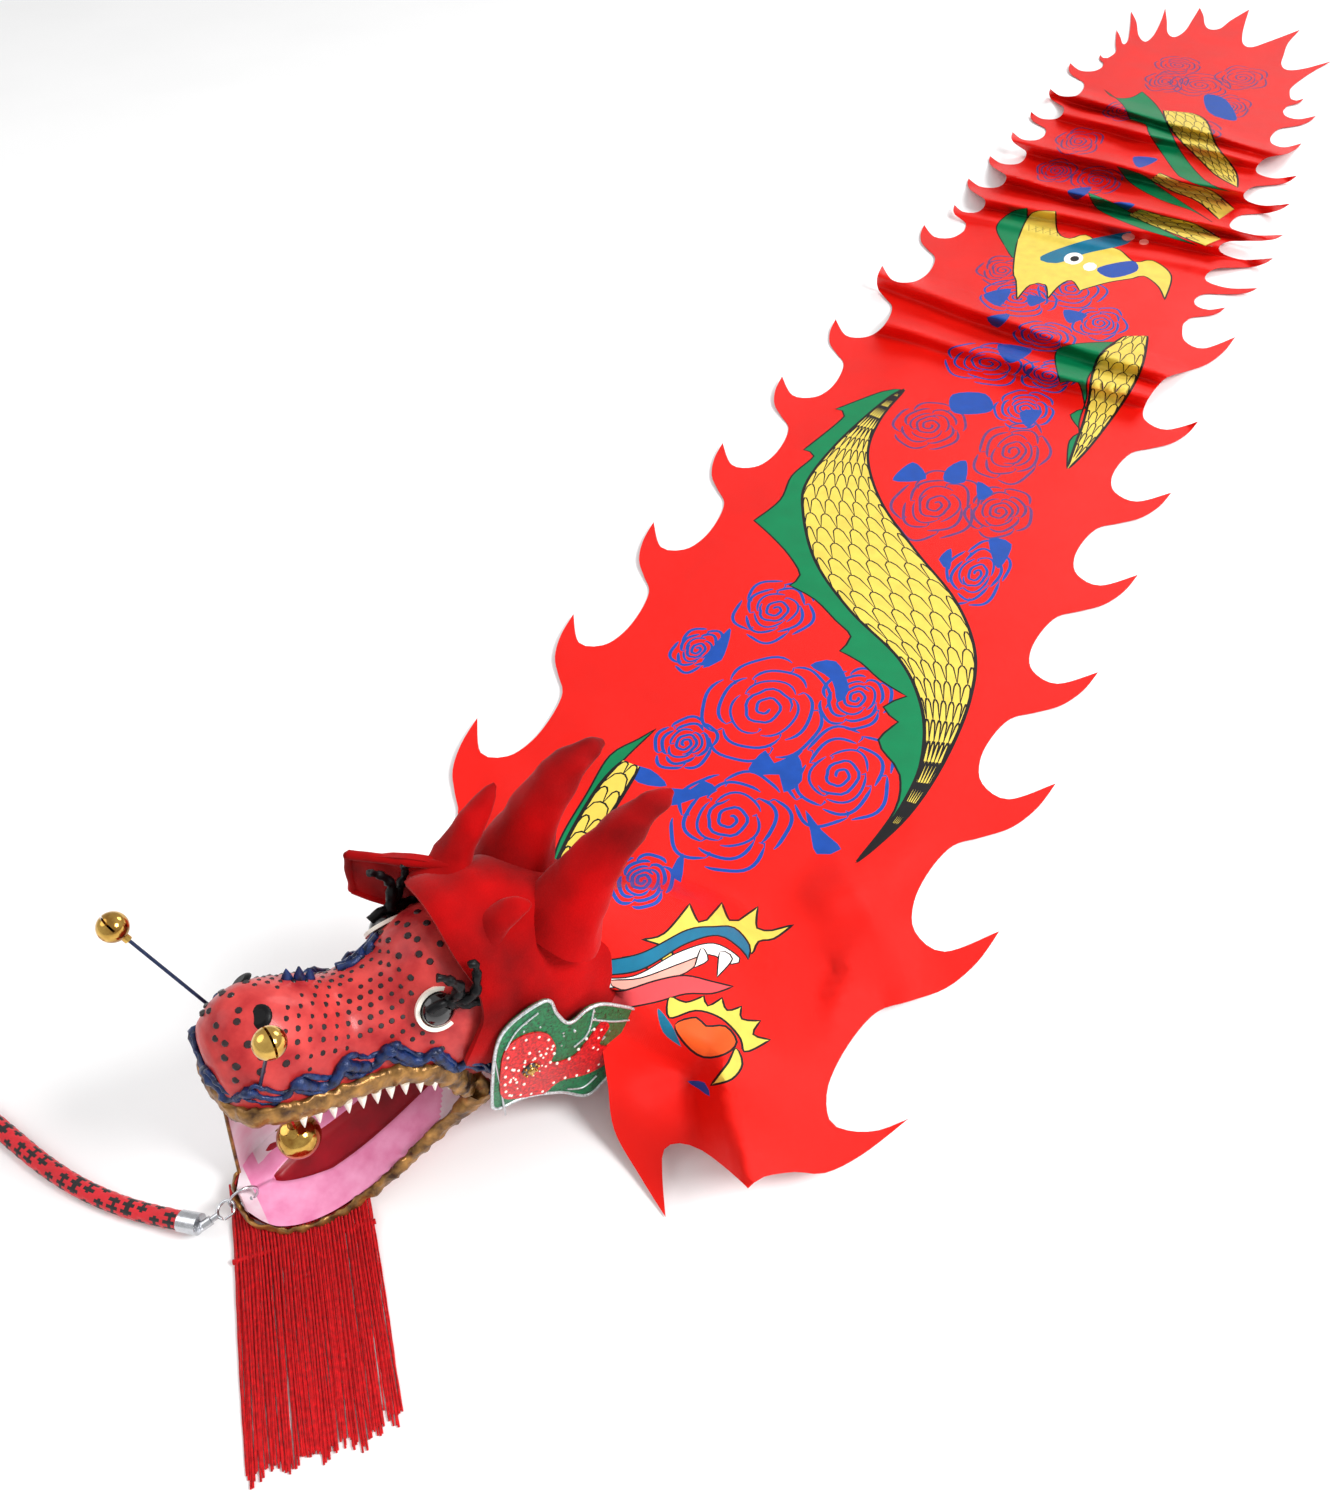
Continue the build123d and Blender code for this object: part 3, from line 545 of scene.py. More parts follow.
def neck_height(x, y):
    """Height of the cloth where it is gathered up onto the back of the head, at its true place."""
    dx, dy = x - NECK[0], y - NECK[1]
    back = 0.469 * dx + 0.883 * dy                       # behind the neck hoop, along the head
    side = 0.883 * dx - 0.469 * dy                       # towards the dragon's left
    reach = 215 - 0.25 * abs(side)
    fall = max(0.0, min(1.0, 1 - max(back, -10) / reach))
    fall = fall * fall * (3 - 2 * fall)
    arch = 190 * math.exp(-(abs(side) / 74) ** 2.6) + 26 * math.exp(-(side / 190) ** 2)
    angle = math.atan2(side, back + 60)
    pleats = 9 * math.sin(angle * 11 + 0.6) * fall * (1 - math.exp(-(dx * dx + dy * dy) / 9000))
    return max(0.0, arch * fall + pleats)


# Soft folds near the neck: ends of each, height and half width.
FOLDS = [((60, -40), (200, -112), 20, 30), ((120, 60), (196, -96), 10, 30), ((200, 120), (270, 90), 9, 30),
         ((-30, 150), (-200, 300), 7, 40), ((150, 190), (215, 330), 9, 26), ((60, 120), (110, 330), 5, 40)]
# Sharp ridges of the gathered cloth: ends, height, and the widths of the left side and the other side.
RIDGES = [((40, -10), (131, -24), 46, 30, 150), ((131, -24), (205, -121), 50, 30, 120),
          ((198, 84), (222, -30), 18, 24, 70), ((175, 215), (262, 120), 12, 60, 34)]


def near_line(x, y, a, b):
    """Distance from a line's nearest point, share along the line, and the side it is on."""
    ux, uy = b[0] - a[0], b[1] - a[1]
    long = math.hypot(ux, uy)
    t = max(0.0, min(1.0, ((x - a[0]) * ux + (y - a[1]) * uy) / long ** 2))
    dx, dy = x - a[0] - t * ux, y - a[1] - t * uy
    return math.hypot(dx, dy), t, ux * dy - uy * dx


def apron_folds(x, y):
    """Raised folds that fan out from the neck over the ribbon's near right corner."""
    height = 0.0
    if y < GATHERED_Y:
        for a, b, top, half in FOLDS:
            off, t, _ = near_line(x, y, a, b)
            height += top * math.exp(-(off / half) ** 2) * (1 - 0.6 * t)
        crest = 0.0
        for a, b, top, left, right in RIDGES:
            off, t, side = near_line(x, y, a, b)
            crest = max(crest, top * max(0.0, 1 - off / (left if side < 0 else right)))
        height += crest
    return height


def gentle(x, y):
    """Small waves of a cloth thrown on a floor, and lifted flame tips."""
    wave = 2.2 * noise.noise(Vector((x / 210, y / 260, 0.4)))
    wave += 1.6 * noise.noise(Vector((x / 70, y / 420, 5.5)))
    edge = max(0.0, (abs(x) - 225) / 90)
    lift = 9 * edge * edge * max(0.0, 0.35 + noise.noise(Vector((x / 300, y / 150, 8.8))))
    seam = 1.4 * math.exp(-((abs(x) - 200) / 3.0) ** 2)
    return 2.6 + max(-1.8, wave) + lift + seam


def drape(x, y):
    """Place in the ribbon's frame of a point of the laid cloth, given by where it would lie if flat.

    Raised cloth is moved towards EYE_POINT, so that from there the outline and the print stay in place."""
    eye = ROW.inverted() @ EYE_POINT
    flat = gentle(x, y) + pleat_height(x, y) + apron_folds(x, y)
    px, py, pz = x, y, flat
    if y < GATHERED_Y:
        for _ in range(14):
            goal = min(TOP_OF_NECK, flat + neck_height(px, py))
            pz += 0.6 * (goal - pz)
            px = x + (eye.x - x) * pz / eye.z
            py = y + (eye.y - y) * pz / eye.z
        return Vector((px, py, pz))
    lean = pz / eye.z
    return Vector((x + (eye.x - x) * lean, y + (eye.y - y) * lean, pz))


# ---- ribbon: print ---------------------------------------------------------------------------------
class Print:
    """Coloured shapes laid over each other on the cloth, later ones on top."""

    def __init__(self):
        self.shapes = []

    def fill(self, points, colour, step=10, sharp=()):
        """A smooth patch through the points; returns its edge."""
        line = [(p.x, p.y) for p in smooth_line([(*p, 0) for p in points], step, closed=True, sharp=sharp)]
        self.shapes.append((line, colour))
        return line

    def stroke(self, line, width, colour):
        """A pen line of a width that tapers at both ends."""
        line = [Vector((p[0], p[1])) for p in line]
        count = len(line)
        left, right = [], []
        for i, point in enumerate(line):
            ahead = line[min(i + 1, count - 1)] - line[max(i - 1, 0)]
            side = Vector((-ahead.y, ahead.x)).normalized() * width / 2
            side *= min(1.0, 0.35 + min(i, count - 1 - i) * 0.4)
            left.append(point + side)
            right.append(point - side)
        for i in range(count - 1):
            corners = (left[i], right[i], right[i + 1], left[i + 1])
            self.shapes.append(([tuple(corner) for corner in corners], colour))

    def outline(self, line, width):
        """A black pen line round a closed edge."""
        self.stroke(line + [line[0]], width, "black")


def rose(art, x, y, wide, tall, phase):
    """Open rose in pen lines: a spiral heart inside broken rings of scalloped petals."""
    colour = "blue" if y < 900 or 1150 < y < 1700 else "swirl"
    line = []
    for t in np.linspace(0, 1, 41):
        turn = phase + 4 * math.pi * t
        size = 0.42 * (1 - 0.85 * t) * (1 + 0.12 * abs(math.sin(2.6 * turn)))
        line.append((x + wide * size * math.cos(turn), y + tall * size * math.sin(turn)))
    art.stroke(line, 4.0, colour)
    for ring, petals in ((0.56, 3), (0.78, 4), (1.04, 5)):
        for k in range(petals):
            start = phase + ring * 5 + 2 * math.pi * k / petals
            arc = []
            for s in np.linspace(0, 1, 14):
                turn = start + s * 2 * math.pi / petals * 0.94
                size = ring * (1 + 0.13 * math.sin(math.pi * s) + 0.03 * math.sin(9 * s + phase) - 0.10 * s)
                arc.append((x + wide * size * math.cos(turn), y + tall * size * math.sin(turn)))
            art.stroke(arc, 4.4 if ring > 0.7 else 3.4, colour)
            end = Vector(arc[-1])
            inward = end + (Vector((x, y)) - end) * 0.16
            art.stroke([end, end.lerp(inward, 0.5) + Vector((2, 3)), inward], 3.6, colour)


# Roses: centre, half width, half height and turn of each; and the filled blue leaves between them.
ROSES = [(-17, 413, 64, 84, 0.2), (20, 238, 56, 66, 2.1), (100, 352, 52, 72, 4.0),
         (-24, 122, 27, 32, 1.0), (-74, 318, 30, 40, 5.1), (-80, 585, 44, 60, 3.0),
         (70, 478, 36, 50, 0.9), (26, 905, 52, 84, 2.6), (-52, 1106, 48, 66, 1.2),
         (82, 1092, 46, 84, 4.6), (64, 1222, 40, 56, 0.4), (124, 776, 34, 70, 3.6),
         (110, 930, 40, 60, 5.5), (-30, 1340, 64, 66, 2.0), (70, 1345, 40, 50, 3.3),
         (-52, 1600, 60, 66, 0.7), (24, 1680, 54, 70, 1.9), (100, 1570, 40, 60, 4.4),
         (-110, 1700, 40, 60, 2.7), (20, 2972, 64, 86, 1.1), (104, 3080, 56, 92, 3.9),
         (-150, 2440, 44, 84, 2.4), (-60, 2225, 46, 76, 0.1), (112, 2840, 42, 80, 5.0),
         (-60, 2960, 46, 80, 2.2), (-150, 2240, 36, 66, 4.9), (60, 2640, 60, 70, 1.4),
         (-60, 3110, 50, 70, 0.3), (-20, 760, 40, 60, 1.7), (-134, 470, 26, 40, 2.9),
         (28, 1478, 46, 50, 0.5), (-110, 2690, 36, 66, 5.6)]
PATCHES = [[(-118, 446), (-116, 526), (-99, 466)], [(0, 507), (25, 528), (58, 488), (54, 460), (33, 494)],
           [(6, 314), (11, 350), (28, 336), (46, 360), (66, 325), (55, 300), (40, 322), (20, 310)],
           [(-64, 244), (-37, 258), (-30, 276), (-10, 269), (-30, 243), (-48, 224)], [(-118, 257),
                                                                                      (-90, 264),
                                                                                      (-62, 250),
                                                                                      (-92, 240)],
           [(86, 287), (112, 269), (140, 254), (120, 236), (102, 262)], [(-4, 148), (-3, 174), (12, 138)],
           [(-50, 936), (-40, 996), (-8, 962)], [(10, 1004), (28, 1036), (44, 978), (17, 968)],
           [(60, 990), (88, 974), (76, 944)], [(116, 860), (147, 862), (146, 800)], [(-50, 1214),
                                                                                     (-4, 1240),
                                                                                     (20, 1192),
                                                                                     (-30, 1160)],
           [(70, 783), (77, 815), (90, 768)], [(44, 2900), (94, 2890), (142, 2748), (77, 2772)],
           [(-34, 1411), (22, 1420), (1, 1356)], [(-112, 1584), (-75, 1630), (-73, 1552)], [(-40, 1621),
                                                                                            (-6, 1616),
                                                                                            (-26, 1578)],
           [(32, 1592), (74, 1590), (53, 1544)], [(-80, 1500), (-48, 1530), (-52, 1470)], [(0, 2120),
                                                                                           (40, 2130),
                                                                                           (20, 2060)],
           [(-20, 2400), (30, 2410), (4, 2340)], [(-100, 2140), (-60, 2180), (-70, 2100)], [(60, 1210),
                                                                                            (90, 1230),
                                                                                            (84, 1170)]]


def width_line(left, right, t):
    """Points of the two edges of a body at share t of its length."""
    def at(line):
        s = t * (len(line) - 1)
        i = min(int(s), len(line) - 2)
        return Vector(line[i]).lerp(Vector(line[i + 1]), s - i)
    return at(left), at(right)


def body_shape(art, left, right, rows, across):
    """Yellow dragon body between its two edge lines, with staggered round scales and a black outline."""
    left = [(p.x, p.y) for p in smooth_line([(*p, 0) for p in left], 12)]
    right = [(p.x, p.y) for p in smooth_line([(*p, 0) for p in right], 12)]
    art.shapes.append((left + right[::-1], "yellow"))
    for i in range(1, rows):
        for j in range(across + 1):
            shift = 0.5 if i % 2 else 0.0
            low, high = (j - 1 + shift) / across, (j + shift) / across
            if high <= 0.02 or low >= 0.98:
                continue
            low, high = max(0.0, low), min(1.0, high)
            arc = []
            for k in range(6):
                s = low + (high - low) * k / 5
                bulge = 1.15 * math.sqrt(max(0.0, 1 - ((k - 2.5) / 2.5) ** 2))
                a, b = width_line(left, right, (i - bulge * 0.9) / rows if i > bulge else 0.002)
                arc.append(tuple(a.lerp(b, s)))
            art.stroke(arc, 2.6, "black")
    art.stroke(left, 4.2, "black")
    art.stroke(right, 4.2, "black")


def draw_print():
    """Everything printed on the ribbon's centre panel."""
    art = Print()
    for x, y, wide, tall, phase in ROSES:
        rose(art, x, y, wide, tall, phase)
    for patch in PATCHES:
        art.fill(patch, "blue", step=12)
    draw_bodies(art)
    draw_jaws(art)
    draw_small_dragon(art)
    return art


# The body's last two crossings among the far crumples: its two edges and the mane beside it.
FAR_BODIES = [([(40, 2280), (96, 2236), (150, 2206), (206, 2130)],
               [(50, 2330), (104, 2296), (164, 2280), (224, 2200)],
               [(-40, 2326), (20, 2300), (64, 2250), (120, 2190), (196, 2110), (150, 2150), (80, 2180),
                (10, 2240)]),
              ([(40, 2070), (90, 2040), (140, 2016), (204, 1986)],
               [(56, 2110), (110, 2094), (164, 2086), (226, 2034)],
               [(-60, 2150), (-6, 2120), (50, 2076), (110, 2030), (190, 1980), (130, 1996), (60, 2020),
                (-20, 2070)])]


def draw_bodies(art):
    """The printed dragon's scaled body where it crosses the panel, with its green mane."""
    mane = [(-129, 1192), (-152, 1172), (-198, 1086), (-178, 1072), (-196, 953), (-176, 944), (-184, 880),
            (-174, 815), (-186, 752), (-152, 731), (-112, 701), (-81, 667), (-84, 640), (-44, 628),
            (-5, 601), (24, 580), (22, 548), (52, 540), (84, 521), (122, 508), (104, 478), (128, 462),
            (118, 424), (136, 404), (158, 383), (171, 331), (160, 244), (178, 300), (176, 370),
            (172, 440), (146, 500), (93, 570), (4, 632), (-76, 708), (-136, 806), (-156, 880),
            (-156, 1004), (-139, 1120)]
    art.outline(art.fill(mane, "green", step=14, sharp=(0, 2, 4, 8, 12, 16, 19, 21, 23, 26)), 2.6)
    body_shape(art, [(-124, 1196), (-139, 1148), (-158, 1004), (-159, 880), (-136, 807), (-76, 706),
                     (4, 628), (93, 566), (146, 494), (172, 416), (176, 350), (170, 290), (160, 246)],
               [(-122, 1193), (-125, 1087), (-106, 984), (-48, 880), (35, 789), (116, 710), (168, 626),
                (190, 536), (195, 428), (186, 330), (161, 245)], 30, 6)
    second = [(60, 1440), (92, 1330), (118, 1344), (148, 1268), (132, 1238), (160, 1196), (150, 1160),
              (166, 1082), (168, 1150), (150, 1220), (142, 1300), (128, 1380), (150, 1500), (118, 1500)]
    art.outline(art.fill(second, "green", step=14, sharp=(1, 3, 5, 7)), 2.4)
    body_shape(art, [(148, 1540), (128, 1460), (132, 1380), (146, 1300), (156, 1220), (160, 1160),
                     (166, 1086)], [(184, 1560), (196, 1470), (199, 1400), (197, 1330), (190, 1240),
                                    (180, 1150), (168, 1084)], 13, 3)
    small = [(-114, 324), (-124, 300), (-140, 262), (-134, 200), (-126, 130), (-106, 70), (-112, 130),
             (-118, 190), (-124, 250)]
    art.outline(art.fill(small, "green", step=10, sharp=(0, 5)), 2.2)
    body_shape(art, [(-124, 262), (-128, 218), (-122, 150), (-112, 96), (-104, 66)],
               [(-102, 262), (-98, 214), (-96, 156), (-98, 96), (-103, 65)], 9, 1)
    tail = [(-184, 2828), (-150, 2780), (-113, 2796), (-97, 2856), (-31, 2738), (62, 2489), (143, 2332),
            (200, 2290), (139, 2296), (90, 2330), (61, 2386), (-17, 2555), (-40, 2620), (-80, 2640),
            (-120, 2740)]
    art.outline(art.fill(tail, "green", step=16, sharp=(0, 3, 7, 9, 13)), 2.4)
    body_shape(art, [(-24, 2740), (0, 2660), (50, 2553), (113, 2447), (160, 2370), (211, 2322)],
               [(40, 2752), (80, 2712), (128, 2560), (178, 2450), (200, 2390), (212, 2320)], 13, 4)
    for left, right, leaf in FAR_BODIES:
        art.outline(art.fill(leaf, "green", step=14, sharp=(0, 4)), 2.2)
        body_shape(art, left, right, 8, 3)


def draw_jaws(art):
    """Open printed jaws next to the head: yellow crests, teal lips, gums, fangs, tongue and a claw."""
    crest = [(-60, 40), (-44, 24), (-11, 13), (8, 34), (30, 30), (26, 50), (44, 44), (42, 60), (10, 58),
             (26, 74), (32, 118), (50, 102), (56, 108), (60, 134), (76, 118), (84, 122), (94, 146),
             (104, 122), (118, 126), (134, 142), (124, 118), (112, 108), (112, 92), (98, 100), (76, 106),
             (48, 82), (24, 34), (-24, 2)]
    art.outline(art.fill(crest, "yellow", step=6, sharp=(8, 10, 12, 13, 15, 16, 18, 19)), 2.4)
    band = [(-30, -8), (22, 22), (50, 72), (74, 96), (100, 92), (112, 84), (106, 100), (84, 112),
            (66, 104), (44, 88), (16, 42), (-24, 8)]
    art.outline(art.fill(band, "teal", step=6, sharp=(5,)), 1.8)
    art.outline(art.fill([(-20, -8), (22, 16), (48, 60), (74, 86), (104, 82), (100, 72), (76, 72),
                          (60, 52), (40, 22), (16, 0), (-10, -20)], "white", step=6), 1.6)
    art.outline(art.fill([(6, 2), (30, 18), (56, 50), (70, 66), (66, 44), (40, 14), (20, -2)], "pink",
                         step=6), 1.6)
    for fang in ([(66, 76), (78, 66), (70, 52)], [(84, 80), (98, 78), (94, 52)],
                 [(-2, -10), (12, -6), (8, -26)]):
        art.outline(art.fill(fang, "white", step=5, sharp=(2,)), 1.6)
    art.outline(art.fill([(0, -14), (22, -2), (44, 22), (66, 40), (92, 46), (112, 50), (98, 34), (76, 22),
                          (54, 0), (26, -22), (8, -26)], "tongue", step=6, sharp=(5,)), 2.0)
    lower = [(64, 12), (80, 14), (92, 28), (100, 20), (108, 34), (118, 24), (128, 34), (134, 22),
             (150, 28), (150, 12), (166, 14), (158, 0), (150, -8), (142, 2), (128, 10), (112, 14),
             (92, 10), (74, -8)]
    art.outline(art.fill(lower, "yellow", step=5, sharp=(2, 4, 6, 8, 10)), 2.2)
    art.outline(art.fill([(82, -12), (96, 4), (108, 0), (124, 8), (140, -2), (136, -18), (120, -30),
                          (100, -26)], "orange", step=6), 2.2)
    art.outline(art.fill([(142, -8), (154, -20), (152, -38), (138, -52), (140, -38), (142, -24)],
                         "yellow", step=5, sharp=(3,)), 2.2)
    art.fill([(60, -4), (80, -14), (98, -30), (76, -24)], "teal", step=6, sharp=(2,))
    art.fill([(118, -58), (132, -52), (142, -62), (130, -60)], "blue", step=6)


def draw_small_dragon(art):
    """Generic small dragon's head further along the panel."""
    art.outline(art.fill([(-138, 1808), (-178, 1890), (-172, 1976), (-150, 2010), (-128, 1930),
                          (-112, 1850), (-104, 1760)], "green", step=14, sharp=(0, 3)), 2.6)
    head = [(-123, 1847), (-134, 1990), (-94, 2020), (-64, 1920), (-36, 1900), (-13, 1932), (30, 1900),
            (63, 1891), (100, 1850), (128, 1872), (172, 1822), (182, 1713), (160, 1764), (128, 1796),
            (112, 1776), (78, 1741), (50, 1700), (38, 1680), (14, 1716), (0, 1684), (-5, 1620),
            (-24, 1676), (-48, 1662), (-53, 1592), (-76, 1668), (-92, 1706)]
    art.outline(art.fill(head, "yellow", step=12, sharp=(2, 11, 17, 20, 23)), 3.0)
    art.fill([(-64, 1790), (-10, 1900), (62, 1990), (70, 1930), (10, 1846), (-30, 1776)], "teal", step=12,
             sharp=(2,))
    art.fill([(44, 1790), (94, 1852), (112, 1812), (76, 1760)], "blue", step=10)
    for x, y, size, colour in ((-6, 1812, 17, "white"), (-4, 1812, 8, "black"), (30, 1790, 12, "white"),
                               (64, 1960, 12, "pink"), (96, 1950, 9, "pink")):
        spot = [(x + size * math.cos(a), y + 1.7 * size * math.sin(a)) for a in np.linspace(0, 5.6, 9)]
        art.fill(spot, colour, step=8)
    for k in range(5):
        art.stroke([(-124 + 14 * k, 1930), (-116 + 14 * k, 1900), (-104 + 14 * k, 1925)], 2.4, "black")


# ---- ribbon: cloth ---------------------------------------------------------------------------------
COLOURS = ["cloth", "blue", "swirl", "green", "yellow", "black", "teal", "white", "pink", "tongue",
           "orange", "reverse"]
CUTS = [700, 1640, 2300]             # y of the cuts between the four cloth pieces


def cloth_points(outline):
    """Points inside the outline that carry the cloth's shape, closer together where it is crumpled."""
    points = []
    y = -170.0
    while y < 3740:
        close = y < 330 or any(abs(y - place) < half + 30 for place, _, _, half in PLEATS)
        step = 8.0 if y < 330 else (9.0 if close else 17.0)
        wide = 11.0 if close else 17.0
        count = int(660 / wide)
        for k in range(count + 1):
            points.append((-330 + 660 * k / count + 0.37 * wide * (int(y / step) % 2), y))
        y += step
    for cut in CUTS:
        points += [(x, cut) for x in np.linspace(-226, 226, 40)]
    inside = polygon_mask(points, outline)
    return [p for p, keep in zip(points, inside) if keep]


def polygon_mask(points, outline):
    """Which points are inside a polygon."""
    px, py = np.array([p[0] for p in points]), np.array([p[1] for p in points])
    inside = np.zeros(len(points), bool)
    count = len(outline)
    for i in range(count):
        (x0, y0), (x1, y1) = outline[i], outline[(i + 1) % count]
        if y0 == y1:
            continue
        inside ^= ((y0 > py) != (y1 > py)) & (px < (x1 - x0) * (py - y0) / (y1 - y0) + x0)
    return inside


def arrange(outline, shapes, extra):
    """Triangles of the outline cut along every shape, each with the colour of the topmost shape on it."""
    coords, edges = [], []
    for points, _ in [(outline, None)] + shapes:
        start, count = len(coords), len(points)
        coords += [Vector(p) for p in points]
        edges += [(start + i, start + (i + 1) % count) for i in range(count)]
    coords += [Vector(p) for p in extra]
    verts, _, tris, _, _, _ = geometry.delaunay_2d_cdt(coords, edges, [], 0, 1e-4, False)
    flat = np.array([(v.x, v.y) for v in verts])
    tris = np.array([t for t in tris if len(t) == 3])
    middles = flat[tris].mean(axis=1)
    inside = polygon_mask(middles, outline)
    tris, middles = tris[inside], middles[inside]
    order = np.argsort(middles[:, 1])
    rising = middles[order, 1]
    colour = np.zeros(len(tris), int)
    for points, name in shapes:
        ys = [p[1] for p in points]
        near = order[np.searchsorted(rising, min(ys)):np.searchsorted(rising, max(ys))]
        xs = [p[0] for p in points]
        near = near[(middles[near, 0] >= min(xs)) & (middles[near, 0] <= max(xs))]
        if len(near):
            colour[near[polygon_mask(middles[near], points)]] = COLOURS.index(name)
    return flat, tris, middles, colour


def sheet_normals(points, tris):
    """Vertex normals of the whole cloth, so that its separate pieces shade as one."""
    a, b, c = points[tris[:, 0]], points[tris[:, 1]], points[tris[:, 2]]
    faces = np.cross(b - a, c - a)
    normals = np.zeros_like(points)
    for k in range(3):
        np.add.at(normals, tris[:, k], faces)
    return normals / np.maximum(np.linalg.norm(normals, axis=1), 1e-9)[:, None]


def thin_sheet(name, points, normals, tris, colour):
    """A cloth piece with a printed face, a pale reverse 0.7 mm under it and a closed edge."""
    used = np.unique(tris)
    back = len(used)
    index = np.full(len(points), -1)
    index[used] = np.arange(back)
    local = index[tris]
    cloth = Build()
    under = points[used] - 0.7 * normals[used]
    cloth.add(np.vstack([points[used], under]), local.tolist() + (local[:, ::-1] + back).tolist())
    reverse = COLOURS.index("reverse")
    cloth.slots = colour.tolist() + [reverse] * len(local)
    pairs = np.concatenate([local[:, [0, 1]], local[:, [1, 2]], local[:, [2, 0]]])
    known = {(int(p), int(q)) for p, q in pairs}
    rim = [(p, q) for p, q in sorted(known) if (q, p) not in known]
    cloth.faces += [[q, p, p + back, q + back] for p, q in rim]
    cloth.slots += [0] * len(rim)
    piece = cloth.make(name, [M[c] for c in COLOURS], ROW)
    shading = np.vstack([normals[used], -normals[used]])
    piece.data.normals_split_custom_set_from_vertices(shading.tolist())
    return piece


# For each cloth piece: the two bodies it bends between and where, and the CAD nodes it stands for.
CLOTH_BENDS = [("head", "ribbon_front", 60, 170), ("ribbon_front", "ribbon_mid", 1250, 1350),
               ("ribbon_mid", "ribbon_rear", 1915, 2010), None]
CLOTH_NODES = [("neck_sleeve", "front_apron", "panel_front", "border_left_front", "border_right_front"),
               ("folds_front",), ("panel_mid", "border_left_mid", "border_right_mid", "folds_rear"),
               ("panel_rear", "border_left_rear", "border_right_rear", "tail_end")]


def make_cloth():
    """The four pieces of the one cloth; the last one rides on the ribbon's rear body."""
    outline = ribbon_outline()
    flat, tris, middles, colour = arrange(outline, draw_print().shapes, cloth_points(outline))
    points = np.array([drape(x, y) for x, y in flat])
    normals = sheet_normals(points, tris)
    for number, (low, high) in enumerate(zip([-1e4] + CUTS, CUTS + [1e4])):
        chosen = (middles[:, 1] >= low) & (middles[:, 1] < high)
        piece = thin_sheet(f"ribbon_cloth_{number + 1}", points, normals, tris[chosen], colour[chosen])
        if CLOTH_BENDS[number]:
            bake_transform(piece)
        else:
            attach(piece, "ribbon_rear")
        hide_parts(*CLOTH_NODES[number])


# ---- head: shapes ----------------------------------------------------------------------------------
# Upper head sections: x, centre height, half height, half width; jaw: x, rim height, depth, half width.
SKULL = [(0, 118, 84, 60), (40, 134, 90, 67), (85, 140, 88, 66), (115, 148, 84, 62), (135, 146, 80, 58),
         (150, 143, 73, 55), (185, 147, 68, 50), (207, 157, 76, 50), (236, 165, 87, 51), (260, 170, 83, 48),
         (275, 176, 67, 40), (284, 184, 42, 26), (287, 186, 1, 1)]
JAW = [(119, 70, 25, 51), (150, 50, 30, 48), (190, 29, 28, 48), (222, 18, 17.6, 49), (262, 13, 12.6, 47),
       (292, 15, 13.5, 36), (308, 20, 11, 17)]
UPPER_LIP = [(118, 76), (132, 114), (162, 140), (190, 151), (216, 159), (241, 168), (264, 175), (290, 176)]
MOUTH_X = 118.5            # corner of the mouth
EYE = (129, 42.5, 197)
WHISKER_SEATS = ((262, 36, 202), (262, -36, 202))


def at_side(point, side):
    """The point on the left side (1) or mirrored to the right side (-1)."""
    return Vector((point[0], side * point[1], point[2]))


def skull_point(x, turn, grow=0.0):
    """Point of the upper head at x and an angle round it (0 is left, a quarter turn is up)."""
    centre, high, wide = table_at(SKULL, x)
    lump = 1.1 * noise.noise(Vector((x / 26, math.cos(turn) * 2.2, math.sin(turn) * 2.2)))
    out = grow + lump
    return Vector((x, (wide + out) * math.cos(turn), centre + (high + out) * math.sin(turn)))


def skull_turn(x, z):
    """Angle round the skull at which its left side is at height z."""
    centre, high, _ = table_at(SKULL, x)
    return math.asin(max(-1.0, min(1.0, (z - centre) / high)))


def lip_z(x):
    """Height of the upper lip's lower edge."""
    return table_at(UPPER_LIP, x)[0]


def rough(point, scale, amount):
    """A point pushed about by noise, for lumpy hand-made surfaces."""
    return Vector(point) + amount * noise.noise_vector(Vector(point) / scale)


def upper_line(lift, grow, back=119.0):
    """Line round the upper jaw at a height above the lip's edge, from the left corner to the right."""
    side = []
    for x in np.linspace(back, 276, 52):
        point = skull_point(x, skull_turn(x, lip_z(x) + lift), grow)
        side.append(Vector((x, max(point.y, 45 - 0.1 * (x - 119)) if x < 135 else point.y, point.z)))
    z = lip_z(280) + lift
    wide = skull_point(280, skull_turn(280, z), grow).y
    other = [at_side(p, -1) for p in reversed(side)]
    front = smooth_line([side[-2], side[-1], (282.5 + grow, wide * 0.68, z), (286 + grow, 0, z),
                         (282.5 + grow, -wide * 0.68, z), other[0], other[1]], 3)
    return side[:-2] + front + other[2:]


def lower_line(lift, grow):
    """Line round the lower jaw's rim, from the right corner round the chin to the left one."""
    side = []
    for x in np.linspace(119, 300, 60):
        rim, _, wide = table_at(JAW, x)
        side.append(Vector((x, wide + grow, rim + lift)))
    other = [at_side(p, -1) for p in side]
    front = smooth_line([side[-2], side[-1], (307 + grow, 21, 19 + lift), (311 + grow, 0, 20 + lift),
                         (307 + grow, -21, 19 + lift), other[-1], other[-2]], 3)
    return other[:-2] + front[::-1] + side[-3::-1]


def slab(build, outer, inner, slot=0, inner_slot=0):
    """A closed shell between two grids of points."""
    build.grid(outer, slot)
    build.grid([list(reversed(row)) for row in inner], inner_slot)
    for a, b in [(outer[0], inner[0]), (inner[-1], outer[-1])]:
        build.grid([b, a], slot)
    for k in (0, -1):
        a, b = [row[k] for row in outer], [row[k] for row in inner]
        build.grid([a, b] if k == 0 else [b, a], slot)


